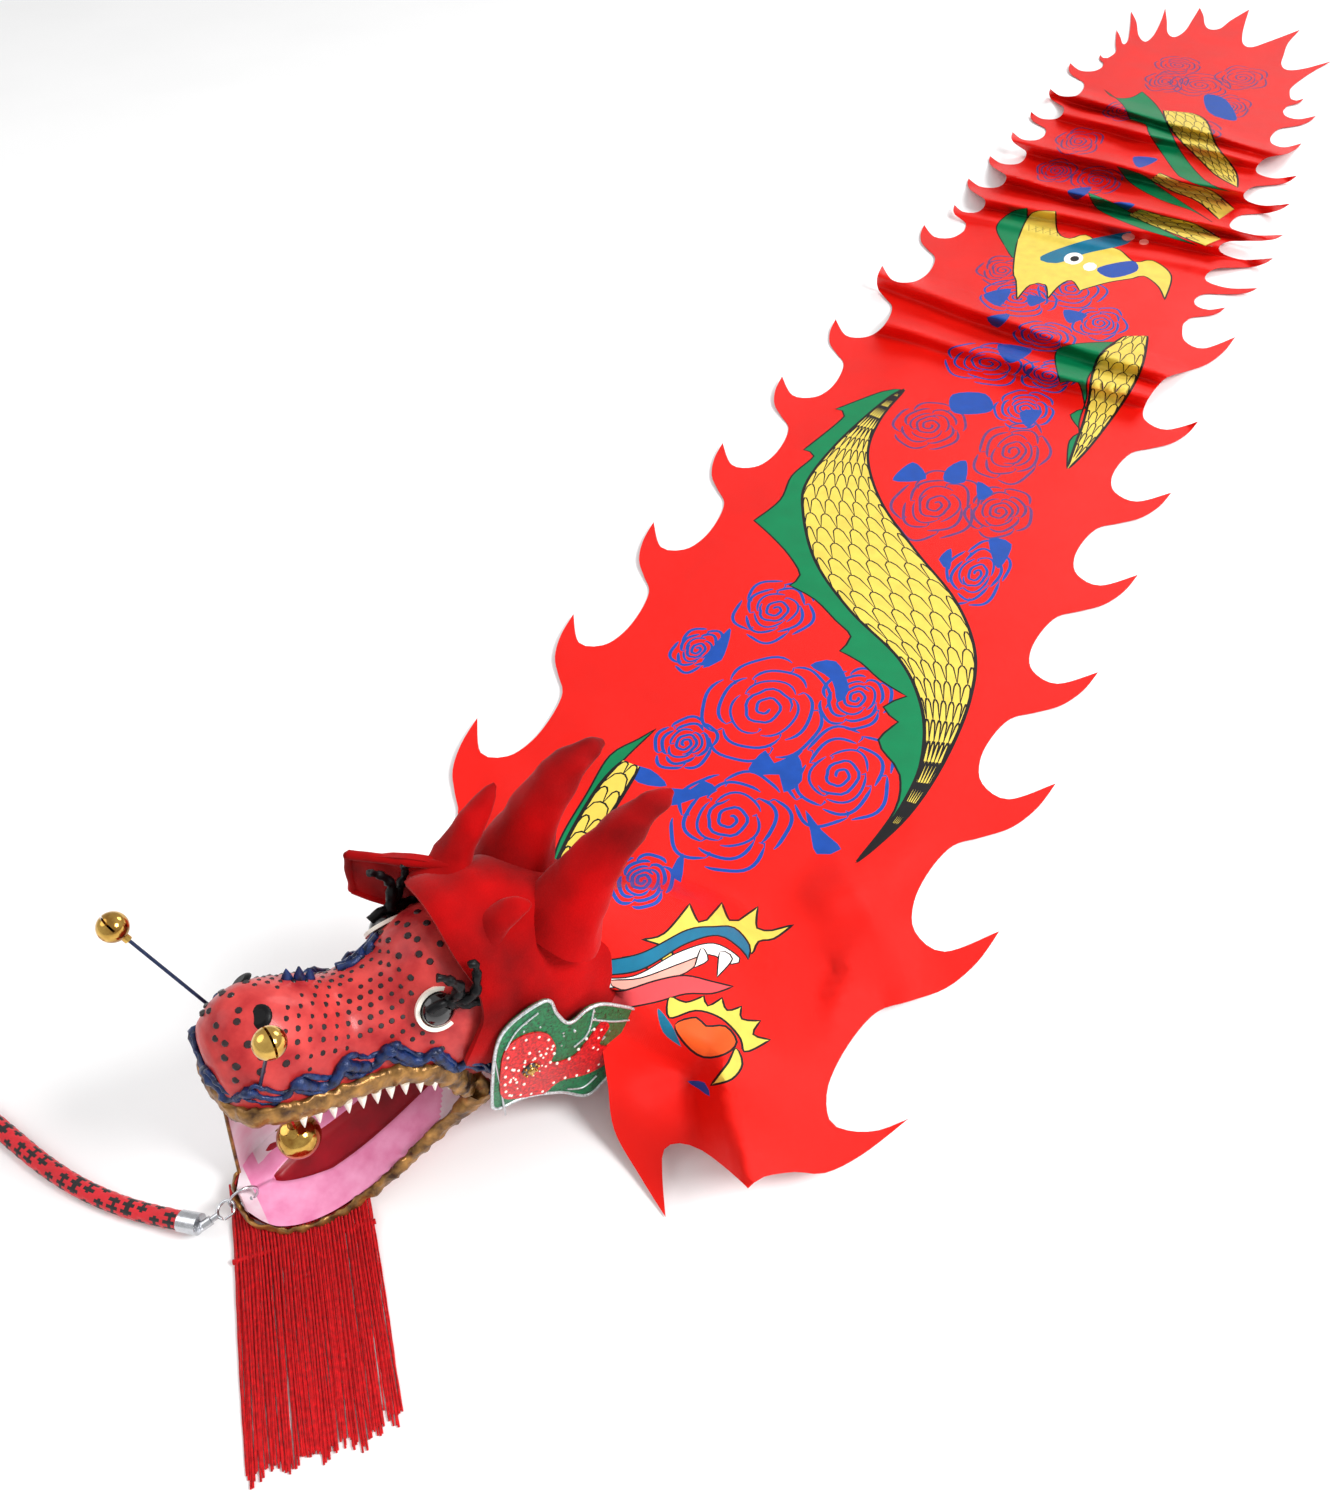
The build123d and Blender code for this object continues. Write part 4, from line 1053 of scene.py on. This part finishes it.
# ---- head: skin, jaw and mouth ---------------------------------------------------------------------
def make_skin():
    """Painted papier-mache upper head, with its rows of black studs."""
    skin = Build()
    full = np.linspace(-math.pi / 2, 1.5 * math.pi, 72, endpoint=False)
    skin.grid([[skull_point(x, t) for t in full] for x in np.linspace(0, MOUTH_X, 28)], around=True)
    rows = []
    for x in np.concatenate([np.linspace(MOUTH_X, 262, 70), np.linspace(264, 287, 24)]):
        start = skull_turn(x, lip_z(x) + 4) if x < 285 else -math.pi / 2
        rows.append([skull_point(x, t) for t in np.linspace(start, math.pi - start, 72)])
    skin.grid(rows)
    add_studs(skin)
    piece = skin.make("head_skin", [M["skin"], M["stud"]], HEAD, "head")
    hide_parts("head_shell")


def add_studs(skin):
    """Raised black dots in rows along the snout, larger and sparser on the nose and cheeks."""
    for line in range(24):
        turn = math.radians(-14 + 9.0 * line)
        for k in range(21):
            x = 108 + 8.2 * k + 4.1 * (line % 2)
            turn_here = turn + 0.02 * random.uniform(-1, 1)
            coarse = x > 236 or not 16 < math.degrees(turn_here) < 164 or x < 140
            if coarse and (k + line) % 2:
                continue
            centre = skull_point(x, turn_here)
            left = centre.y >= 0
            eye = (centre - at_side(EYE, 1 if left else -1)).length
            nostril = (centre - Vector((242, 14, 244) if left else (242, -27, 238))).length
            low = centre.z < lip_z(x) + 44 or x > 283
            crest = abs(centre.y) < 4 and x > 150
            hidden = x < 132 and abs(centre.y) > 26
            if low or eye < 20 or nostril < 12 or crest or hidden:
                continue
            out = (skull_point(x, turn_here, 5) - centre).normalized()
            radius = random.uniform(2.7, 3.3) if coarse else random.uniform(1.9, 2.4)
            skin.ball(centre - out * 0.5, radius, 1, 8, 3, out, 0.5, (1, 1, 0.7))


def make_jaw():
    """Painted outside of the lower jaw."""
    jaw = Build()
    rows = []
    for x in np.linspace(MOUTH_X, 308, 56):
        rim, depth, wide = table_at(JAW, x)
        rows.append([Vector((x, wide * math.cos(t), rim + depth * math.sin(t)))
                     for t in np.linspace(math.pi, 2 * math.pi, 40)])
    jaw.grid(rows)
    jaw.cap(rows[-1])
    piece = jaw.make("jaw_skin_outer", [M["skin"]], HEAD, "head")
    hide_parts("jaw_shell")


GUM, CAVITY, LINING, EDGE = range(4)       # material slots of the mouth


def mouth_row(x):
    """Points across the lower mouth at x: the far gum, the sunk cavity and the near gum, ten steps each."""
    rim, _, wide = table_at(JAW, x)
    wide = (wide if x < 300 else wide * (1 - ((x - 300) / 12) ** 2) ** 0.5) - 1.5
    narrow = max(0.0, min(1.0, (281 - x) / 44)) ** 0.6
    far, near = -8 - 17 * narrow, -8 + 20 * narrow
    far, near = max(far, -wide + 3), min(near, wide - 3)
    dip = 6.5 * min(1.0, narrow * 3)
    row = []
    for a, b in ((-wide, far), (far, near), (near, wide)):
        for k in range(10):
            t = k / 10
            y = a + (b - a) * t
            bowl = 3.2 * (1 - (y / max(wide, 1)) ** 2)
            inside = dip * math.sin(math.pi * t) ** 0.3 if (a, b) == (far, near) else 0.0
            row.append(Vector((x, y, max(1.2, rim - bowl - inside))))
    return row + [Vector((x, wide, max(1.2, rim)))]


def add_cheek(lining):
    """The pale lining that closes the right side of the mouth, with its gold front edge."""
    upper = [p for p in upper_line(3, -2.5, 124) if p.y < 0 and p.x < 277][::2]
    lower = [p for p in lower_line(-1, -1.5) if p.y < 0 and 122 < p.x < 303]
    upper.sort(key=lambda p: p.x)
    lower.sort(key=lambda p: p.x)
    cheek = []
    for k in range(40):
        top, bottom = (line[round(k * (len(line) - 1) / 39)] for line in (upper, lower))
        cheek.append([top.lerp(bottom, s) + Vector((0, -5 * math.sin(math.pi * s), 0))
                      for s in np.linspace(0, 1, 14)])
    slab(lining, cheek, [[p + Vector((0, -1.2, 0)) for p in row] for row in cheek], LINING, LINING)
    lining.tube(cheek[-1], 1.5, 8, EDGE)


def make_mouth():
    """Pink gum band, dark red cavity and the pale lining, over the lower jaw and up the right cheek."""
    lining = Build()
    places = np.linspace(120, 309, 84)
    lining.grid([mouth_row(x) for x in places])
    for f in range(len(lining.faces)):
        i, j = divmod(f, 30)
        x = places[i]
        inner = 10 <= j < 20 and x < 279
        pale = (j > 19 and x < 126 + 2.2 * (j - 19)) or (j < 4 and x < 285) or x > 297
        lining.slots[f] = CAVITY if inner else LINING if pale else GUM
    up = (0, 0, 1)
    lining.ball((272, -35, 11.4), 4.6, CAVITY, 12, 3, up, 0.5, (1.7, 0.7, 0.25))
    # Eyelet hole in the gum: a gold rim round a dark red disc, the disc painted shade of the hole's inside.
    lining.ball((293, -13, 10.2), 5.2, EDGE, 14, 4, up, 0.5, (1, 1, 0.3))
    lining.ball((293, -13, 11.0), 3.6, CAVITY, 12, 3, up, 0.5, (1, 1, 0.3))
    add_cheek(lining)
    mats = [M["gum"], M["cavity"], M["lining"], M["gold_lip"]]
    piece = lining.make("mouth_lining", mats, HEAD, "head")
    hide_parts("lower_gum", "mouth_floor")


def make_lips():
    """One lumpy gold lip that runs round both jaws."""
    upper = upper_line(10, 1.5)
    lower = lower_line(-4.5, 0.8)
    right = smooth_line([upper[-2], upper[-1], (112, -52, 76), lower[0], lower[1]], 3)[2:-2]
    left = smooth_line([lower[-2], lower[-1], (112, 52, 76), upper[0], upper[1]], 3)[2:-2]
    line = even_line(upper + right + lower + left + [upper[0]], 2.4)[0][:-1]
    radii = []
    for p in line:
        on_top = p.z > lip_z(max(118, p.x)) - 6
        chin = max(0.0, min(1.0, (p.x - 150) / 130))
        corner = 3.5 * math.exp(-((p.x - 116) / 14) ** 2)
        thick = 10.4 + corner if on_top else 9.0 + corner - 5.0 * chin
        radii.append(thick * (1 + 0.2 * noise.noise(p / 9)))
    lip = Build()
    lip.tube(line, radii, 16, 0, closed=True, flat=0.46, up=(0, 0, 1))
    lip.verts = [tuple(rough(v, 6.5, 2.6)) for v in lip.verts]
    lip.verts = [(x, y, max(z, 0.5)) for x, y, z in lip.verts]
    piece = lip.make("gold_lips", [M["gold_lip"]], HEAD, "head")
    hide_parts("upper_lip", "lower_lip")


def trim_line(shift):
    """Line of a trim strand over the upper lip, hooked down behind both corners of the mouth."""
    middle = upper_line(31 + shift, 1.2)
    ends = [Vector((111, 66, 84)), Vector((101, 69, 104)), Vector((108, 66, 132 + shift))]
    away = [at_side(p, -1) for p in reversed(ends)]
    line = smooth_line(ends + [middle[3]], 3) + middle[4:-4] + smooth_line([middle[-4]] + away, 3)
    return even_line(line, 2.0)[0]


def make_trim():
    """Navy cord of three wavy strands over the upper lip, thinner where the whiskers need room."""
    trim = Build()
    for shift, radius, share in ((0, 4.2, 1.15), (5.5, 2.3, 1.0), (-5, 2.2, 1.05)):
        line = trim_line(shift)
        waved, sizes = [], []
        for i, p in enumerate(line):
            wave = 1 - 2 * abs(math.sin(i * 2.0 * math.pi / 35 + 0.4)) ** 1.3
            p = p + Vector((0, 0, 6.0 * share * wave + 2.0 * noise.noise(p / 12)))
            seat = min((p - Vector(base)).length for base in WHISKER_SEATS)
            room = 1 - 0.7 * math.exp(-(seat / 15) ** 2)
            taper = min(1, (i + 4) / 12, (len(line) - i + 3) / 12)
            waved.append(p)
            sizes.append(radius * room * (1 + 0.5 * noise.noise(p / 6)) * taper)
        trim.tube(waved, sizes, 9, 0)
    trim.verts = [tuple(rough(v, 5, 1.8)) for v in trim.verts]
    piece = trim.make("wavy_trim", [M["navy"]], HEAD, "head")
    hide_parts("blue_trim")


def make_teeth():
    """Small pointed teeth along both sides of the upper jaw."""
    teeth = Build()
    for side in (1, -1):
        for k in range(12):
            x = 127 + 10.6 * k
            wide = skull_point(x, skull_turn(x, lip_z(x) + 3)).y + 2.5
            root = Vector((x, side * max(wide, 46), lip_z(x) + 3))
            size = 1 - 0.3 * abs(k - 6) / 6
            tip = root + Vector((2, 1.5 * side, -16.5 * size))
            shares = np.linspace(0, 1, 6)
            sizes = [3.9 * size * (1 - s ** 1.3) + 0.3 for s in shares]
            teeth.tube([root.lerp(tip, s) for s in shares], sizes, 9)
    piece = teeth.make("teeth", [M["ivory"]], HEAD, "head")
    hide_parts("upper_teeth")


def make_nostrils():
    """Two black cups on top of the snout: painted shade standing in for the dark nostril holes."""
    holes = Build()
    for turn in (73, 122):
        centre = skull_point(242, math.radians(turn))
        out = (skull_point(242, math.radians(turn), 5) - centre).normalized() + Vector((0.35, 0, 0))
        holes.ball(centre - out * 1.5, 9.0, 0, 20, 5, out.normalized(), 0.5, (1, 1, 0.42))
    piece = holes.make("nostril_caps", [M["lash"]], HEAD, "head")
    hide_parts("nostrils")


def make_lashes():
    """A lid line and three curled lashes over each eye; the lashes are given by tip and bend."""
    lashes = Build()
    for side in (1, -1):
        centre = at_side(EYE, side)

        def near(x, y, z):
            return centre + Vector((x, side * y, z))

        root = near(-8, 8, 10)
        lashes.tube(smooth_line([near(9, 7, 11), near(0, 8, 14), root, near(-13, 7, 1)], 2), 3.6, 8)
        for (x, y, z), bend in (((-6, 15, 50), (-16, 15, 30)), ((-31, 13, 43), (-24, 18, 20)),
                                ((-53, 12, 14), (-31, 15, 2))):
            line = smooth_line([root, near(*bend), near(x, y, z), near(x + 5, y - 1, z + 4)], 2)
            count = len(line)
            sizes = [5.0 * (1 - 0.5 * i / count) * (1 + 0.2 * math.sin(i * 1.1)) for i in range(count)]
            lashes.tube(line, sizes, 8)
    lashes.verts = [tuple(rough(v, 4, 0.9)) for v in lashes.verts]
    piece = lashes.make("curled_lashes", [M["lash"]], HEAD, "head")
    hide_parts("eyelashes")


def make_crest():
    """Small dark spikes and two cords along the snout's ridge."""
    crest = Build()
    for x, tall, turn in ((150, 6, 112), (158, 8, 114), (168, 7, 116), (199, 8, 108), (206, 11, 106),
                          (214, 8, 108)):
        base = skull_point(x, math.radians(turn))
        tip = base + Vector((-3, -2, tall))
        spike = [base - Vector((0, 0, 2)), base.lerp(tip, 0.5), tip]
        crest.tube(spike, [5.0, 3.2, 0.6], 8, 0, flat=0.6, up=(1, 0, 0))
    for lift in (0, 7):
        line = [skull_point(x, math.radians(116 + lift + 4 * math.sin(x / 7)), 1.2)
                for x in np.linspace(140, 176, 20)]
        crest.tube(line, 3.0, 8)
    crest.verts = [tuple(rough(v, 4, 0.8)) for v in crest.verts]
    piece = crest.make("ridge_crest", [M["navy"]], HEAD, "head")
    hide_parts("snout_crest")


# ---- head: hood, horns and ears --------------------------------------------------------------------
# Hood sections: x, centre height, half height, half width.
HOOD = [(-14, 117, 90, 66), (0, 122, 95, 69), (30, 141, 99, 74), (80, 158, 97, 75), (104, 168, 90, 73),
        (118, 172, 82, 68)]


def hood_rows(grow):
    """Points of the hood's outer face, or of its inner face with a negative `grow`."""
    rows = []
    for x in np.linspace(-14, 112, 46):
        centre, high, wide = table_at(HOOD, x)
        start = math.asin(max(-1.0, min(1.0, (62 - centre) / high)))
        row = []
        for t in np.linspace(start, math.pi - start, 80):
            fold = 2.0 * noise.noise(Vector((x / 20, math.cos(t) * 1.6, math.sin(t) * 2.5)))
            fold += 1.4 * math.sin(5 * t + x / 14) * max(0, 1 - x / 150)
            away = abs(math.degrees(t) - 90)
            shift = -4 - 7 * math.exp(-((away - 62) / 20) ** 2) + 16 * max(0.0, min(1.0, (away - 78) / 26))
            edge = x + shift * max(0, (x - 40) / 72)
            out = fold + grow
            row.append(Vector((edge, (wide + out) * math.cos(t), centre + (high + out) * math.sin(t))))
        rows.append(row)
    return rows


def add_flap(hood):
    """The square flap of the hood's far side, folded forward, with its rolled hem."""
    corners = [Vector(p) for p in ((72, -28, 250), (131, -92, 240), (134, -95, 196), (100, -62, 178))]
    front, back = [], []
    for u in np.linspace(0, 1, 22):
        near, far = corners[0].lerp(corners[3], u), corners[1].lerp(corners[2], u)
        row, behind = [], []
        for v in np.linspace(0, 1, 26):
            point = near.lerp(far, v) + Vector((-5, 3, 4)) * math.sin(math.pi * v) * (1 - 0.4 * u)
            point += 1.6 * noise.noise_vector(point / 18)
            plump = 3.4 * math.sin(math.pi * min(1, max(0.02, v))) ** 0.4
            row.append(point + Vector((plump, 0.6, 1.2)))
            behind.append(point - Vector((plump + 2.2, 0, 0)))
        front.append(row)
        back.append(behind)
    slab(hood, front, back, 0, 1)
    for a, b in zip(corners, corners[1:]):
        line = [a.lerp(b, s) + 1.2 * noise.noise_vector(a.lerp(b, s) / 14) for s in np.linspace(0, 1, 24)]
        hood.tube(line, 4.0, 10)


def add_gathers(hood):
    """Pleated cloth gathered over the neck hoop behind the head."""
    disc = []
    for r in np.linspace(1, 0.04, 16):
        row = []
        for t in np.linspace(0, 2 * math.pi, 121)[:-1]:
            pleat = 3.0 * math.sin(15 * t + 2 * math.sin(3 * t)) * math.sin(math.pi * min(1, r + 0.08))
            row.append(Vector((-10 - 14 * (1 - r) ** 1.5 + pleat, 62 * r * math.cos(t),
                               118 + 84 * r * math.sin(t))))
        disc.append(row + [row[0]])
    slab(hood, disc, [[p + Vector((2.0, 0, 0)) for p in row] for row in disc])


def make_hood():
    """Stuffed velvet hood with its folded flap, gathered over the hoop at the back."""
    hood = Build()
    slab(hood, hood_rows(0), hood_rows(-4))
    add_flap(hood)
    add_gathers(hood)
    piece = hood.make("velvet_hood", [M["velvet"], M["velvet_inner"]], HEAD, "head")
    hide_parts("hood")


# Horns: base, middle and tip of each, and its radius.
HORNS = {"horn_left": ((20, 36, 208), (-30, 42, 272), (-84, 40, 299), 29),
         "horn_right": ((20, -34, 208), (-24, -42, 268), (-74, -40, 290), 29),
         "horn_prong_right": ((86, -34, 222), (50, -44, 256), (16, -55, 284), 21),
         "horn_prong_left": ((78, 26, 226), (58, 30, 240), (40, 34, 246), 17)}


def make_horns():
    """Soft stuffed horns that taper and bend back."""
    for name, (base, middle, tip, radius) in HORNS.items():
        base, middle, tip = Vector(base), Vector(middle), Vector(tip)
        line, count = [], 26
        for s in np.linspace(0, 1, count):
            point = base.lerp(middle, s).lerp(middle.lerp(tip, s), s)
            lift = 15 * math.sin(math.pi * s) if "prong" not in name else 7 * math.sin(math.pi * s)
            line.append(point + Vector((0, 0, lift)))
        sizes = [radius * (1.12 - s) ** 0.75 * (1 + 0.3 * math.exp(-(s / 0.14) ** 2))
                 * min(1.0, 0.25 + (1 - s) * 9) ** 0.5 for s in np.linspace(0, 1, count)]
        horn = Build()
        horn.tube(line, sizes, 26, 0, flat=0.78, up=(0, 1, 0.2))
        horn.verts = [tuple(rough(v, 16, 2.6)) for v in horn.verts]
        piece = horn.make(f"soft_{name}", [M["velvet"]], HEAD, "head")
        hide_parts(name)


# Outlines (x, z) of the ear and of the flower on it.
EAR_Y = 80                 # the left ear's own plane
EAR = [(112, 82), (114, 108), (107, 148), (96, 176), (76, 190), (57, 192), (51, 168), (42, 150), (24, 154),
       (4, 141), (-31, 92), (-20, 66), (-2, 45), (16, 34), (34, 30), (56, 54), (86, 74)]
PETALS = [(104, 92), (107, 112), (101, 146), (92, 160), (76, 162), (62, 152), (57, 130), (62, 112),
          (44, 104), (34, 112), (16, 128), (8, 116), (18, 98), (2, 72), (12, 58), (33, 62), (56, 74),
          (72, 66), (90, 78)]


def flat_patch(outline, step):
    """Vertices and triangles that fill an outline in the plane."""
    xs, ys = [p[0] for p in outline], [p[1] for p in outline]
    coords = [Vector(p) for p in outline]
    grid = [(x, y) for x in np.arange(min(xs), max(xs), step) for y in np.arange(min(ys), max(ys), step)]
    keep = polygon_mask(np.array(grid), outline)
    coords += [Vector(p) for p, k in zip(grid, keep) if k]
    count = len(outline)
    edges = [(i, (i + 1) % count) for i in range(count)]
    verts, _, faces, _, _, _ = geometry.delaunay_2d_cdt(coords, edges, [], 0, 1e-4, False)
    middles = np.array([[sum(verts[i][c] for i in f) / len(f) for c in (0, 1)] for f in faces])
    inside = polygon_mask(middles, outline)
    return [(v.x, v.y) for v in verts], [f for f, k in zip(faces, inside) if k]


def ear_side(x, z):
    """How far an ear's cupped plate stands from its own plane."""
    return 2.2 * math.sin(x / 22) + 1.6 * math.cos(z / 19)


def on_ear(x, z, side, level):
    """Point at a distance out of an ear's plane."""
    return Vector((x, side * (EAR_Y + level + ear_side(x, z)), z))


def raised(build, outline, side, low, high, slot):
    """A cupped plate between two distances from an ear's plane; returns its outer edge."""
    outline = [(p.x, p.y) for p in smooth_line([(*p, 0) for p in outline], 4, closed=True)]
    flat, faces = flat_patch(outline, 5)
    for level, turned in ((low, side > 0), (high, side < 0)):
        verts = [on_ear(x, z, side, level) for x, z in flat]
        build.add(verts, [list(reversed(f)) if turned else list(f) for f in faces], slot)
    rim = [[on_ear(x, z, side, level) for x, z in outline] for level in (low, high)]
    build.grid(rim if side > 0 else rim[::-1], slot, around=True)
    return rim[1]


def make_ear(side, name):
    """Green glittered plate with a silver edge, three silver lines and scattered silver dots."""
    ear = Build()
    edge = raised(ear, EAR, side, -1.2, 1.2, 0)
    ear.tube(edge, 1.5, 7, 1, closed=True)
    for line in ([(24, 140), (2, 116), (-22, 94)], [(20, 150), (28, 126), (40, 118)],
                 [(50, 54), (36, 44), (22, 48)], [(66, 182), (84, 172), (96, 156)]):
        ear.tube(smooth_line([on_ear(x, z, side, 1.6) for x, z in line], 2), 0.9, 6, 1)
    inner = [(x * 0.92 + 4, z * 0.94 + 6) for x, z in EAR]
    for _ in range(60):
        x, z = random.uniform(-10, 108), random.uniform(60, 176)
        if polygon_mask([(x, z)], inner)[0]:
            ear.ball(on_ear(x, z, side, 1.3), random.uniform(0.7, 1.3), 1, 7, 3, (0, side, 0), 0.6)
    mats = [M["ear_green"], M["silver"]]
    piece = ear.make(f"glitter_ear_{name}", mats, HEAD, f"ear_{name}")
    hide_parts(f"ear_{name}")


def make_flower(side, name):
    """Red flower on the ear, with white dots along its edge and round its dark and gold heart."""
    flower = Build()
    out = (0, side, 0)
    rim = raised(flower, PETALS, side, 1.25, 2.4, 0)
    for p in rim[::3]:
        flower.ball(p.lerp(Vector((72, p.y, 112)), 0.12), 1.4, 1, 8, 4, out, 0.6)
    for _ in range(26):
        turn, far = random.uniform(0, 2 * math.pi), random.uniform(9, 25)
        x, z = 80 + far * math.cos(turn), 118 + far * math.sin(turn)
        flower.ball(on_ear(x, z, side, 2.3), random.uniform(0.8, 1.5), 1, 8, 4, out, 0.6)
    heart = on_ear(80, 118, side, 2.2)
    flower.ball(heart, 7.5, 2, 14, 5, out, 0.5, (1, 1, 0.35))
    flower.ball(heart + Vector((0, side * 1.2, 0)), 4.2, 3, 12, 6, out, 0.6, (1, 1, 0.8))
    for k in range(8):
        spoke = Vector((math.cos(k * 0.785), 0, math.sin(k * 0.785)))
        flower.ball(heart + 6.4 * spoke + Vector((0, side * 1.4, 0)), 1.4, 3, 8, 4, out, 0.6)
    mats = [M["petal"], M["ivory"], M["black_gloss"], M["gold"]]
    piece = flower.make(f"flower_patch_{name}", mats, HEAD, f"ear_{name}")
    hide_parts(f"ear_flower_{name}")


# ---- beard and hardware ----------------------------------------------------------------------------
# Frame of the beard: x along its strings from the band, y across them.
BEARD = HEAD @ Matrix.Rotation(math.radians(72.6), 4, "Z") @ Matrix.Translation((131, -251.5, 0))


def chin_edge():
    """Where the jaw's side stands along the beard's own direction, for each place across it."""
    back = BEARD.inverted() @ HEAD
    line = [back @ p for p in lower_line(-9, -1.0)]
    places = np.arange(-60, 61, 3.0)
    reach = []
    for place in places:
        near = [p.x for p in line if abs(p.y - place) < 5]
        reach.append(max(near) if near else -60)
    return places, reach


def make_beard():
    """Straight yarns fixed under the chin's edge, knotted over a tape, combed flat and cut ragged."""
    beard = Build()
    places, reach = chin_edge()
    count = 118
    for k in range(count):
        share = (k + 0.5) / count * 2 - 1
        across = 55 * share + random.uniform(-0.5, 0.5)
        start = max(-62, min(2, np.interp(across, places, reach) - 2))
        layer = 0.9 + 1.15 * (k % 3) + random.uniform(0, 0.3)
        long = 168 - random.uniform(0, 9) - (10 if share > 0.75 else 0) - 8 * abs(math.sin(share * 7))
        phase = random.uniform(0, 6)
        points = []
        for s in np.linspace(0, 1, 26):
            along = start + (long - start) * s
            free = max(0.0, along / long)
            sway = 1.3 * math.sin(phase + 3 * free) * free + 1.6 * free * share
            root = 5 * math.exp(-(along - start) / 14)
            height = layer * (1 - 0.5 * free) + root + 0.9 * (1 - free)
            points.append((along, across + sway, max(0.9, height)))
        beard.tube(points, [0.8 + 0.12 * math.sin(i * 1.9 + k) for i in range(26)], 6)
    piece = beard.make("beard_yarns", [M["yarn"]], BEARD)
    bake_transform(piece)
    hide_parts("beard_strings")


def make_tape():
    """Soft flattened band that the yarns hang from."""
    tape = Build()
    rows = []
    for y in np.linspace(-56, 56, 60):
        wave = 0.25 * math.sin(y * 1.7)
        rows.append([(2 + 2.2 * math.cos(t), y, 2.75 + (2.35 + wave) * math.sin(t))
                     for t in np.linspace(0, 2 * math.pi, 14, endpoint=False)])
    tape.grid(rows, around=True)
    tape.cap(rows[0], 0, True)
    tape.cap(rows[-1])
    piece = tape.make("beard_tape", [M["yarn"]], BEARD, "beard")
    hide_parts("beard_band")


NODE_LOOKS = { "steel": ("chin_eyelet", "chin_ring", "hook_body", "hook_gate", "swivel_eye", "rope_cap",
                         "pearl_hanger", "neck_screws", "ear_pins"), "gold": ("pearl", "pearl_crown",
                                                                              "whisker_bell_left",
                                                                              "whisker_bell_right"),
              "black_gloss": ("eyeballs",), "ivory": ("eye_whites",), "cavity": ("palate",),
              "plastic": ("neck_hoop", "whisker_seats"), "rubber": ("hand_grip",),
              "yarn": ("pearl_thread",), "whisker": ("whisker_wire_left", "whisker_wire_right")}


def dress_nodes():
    """Procedural materials for the CAD pieces that stay as they are."""
    for look, nodes in NODE_LOOKS.items():
        for node in nodes:
            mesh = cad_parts[node].data
            mesh.materials.clear()
            mesh.materials.append(M[look])


def make_head():
    """All pieces of the head, in the order in which the random draws are made."""
    make_skin()
    make_jaw()
    make_mouth()
    make_lips()
    make_trim()
    make_teeth()
    make_nostrils()
    make_lashes()
    make_crest()
    make_hood()
    make_horns()
    for side, name in ((1, "left"), (-1, "right")):
        make_ear(side, name)
        make_flower(side, name)
    make_beard()
    make_tape()
    dress_nodes()


make_head()
make_rope()
make_cloth()
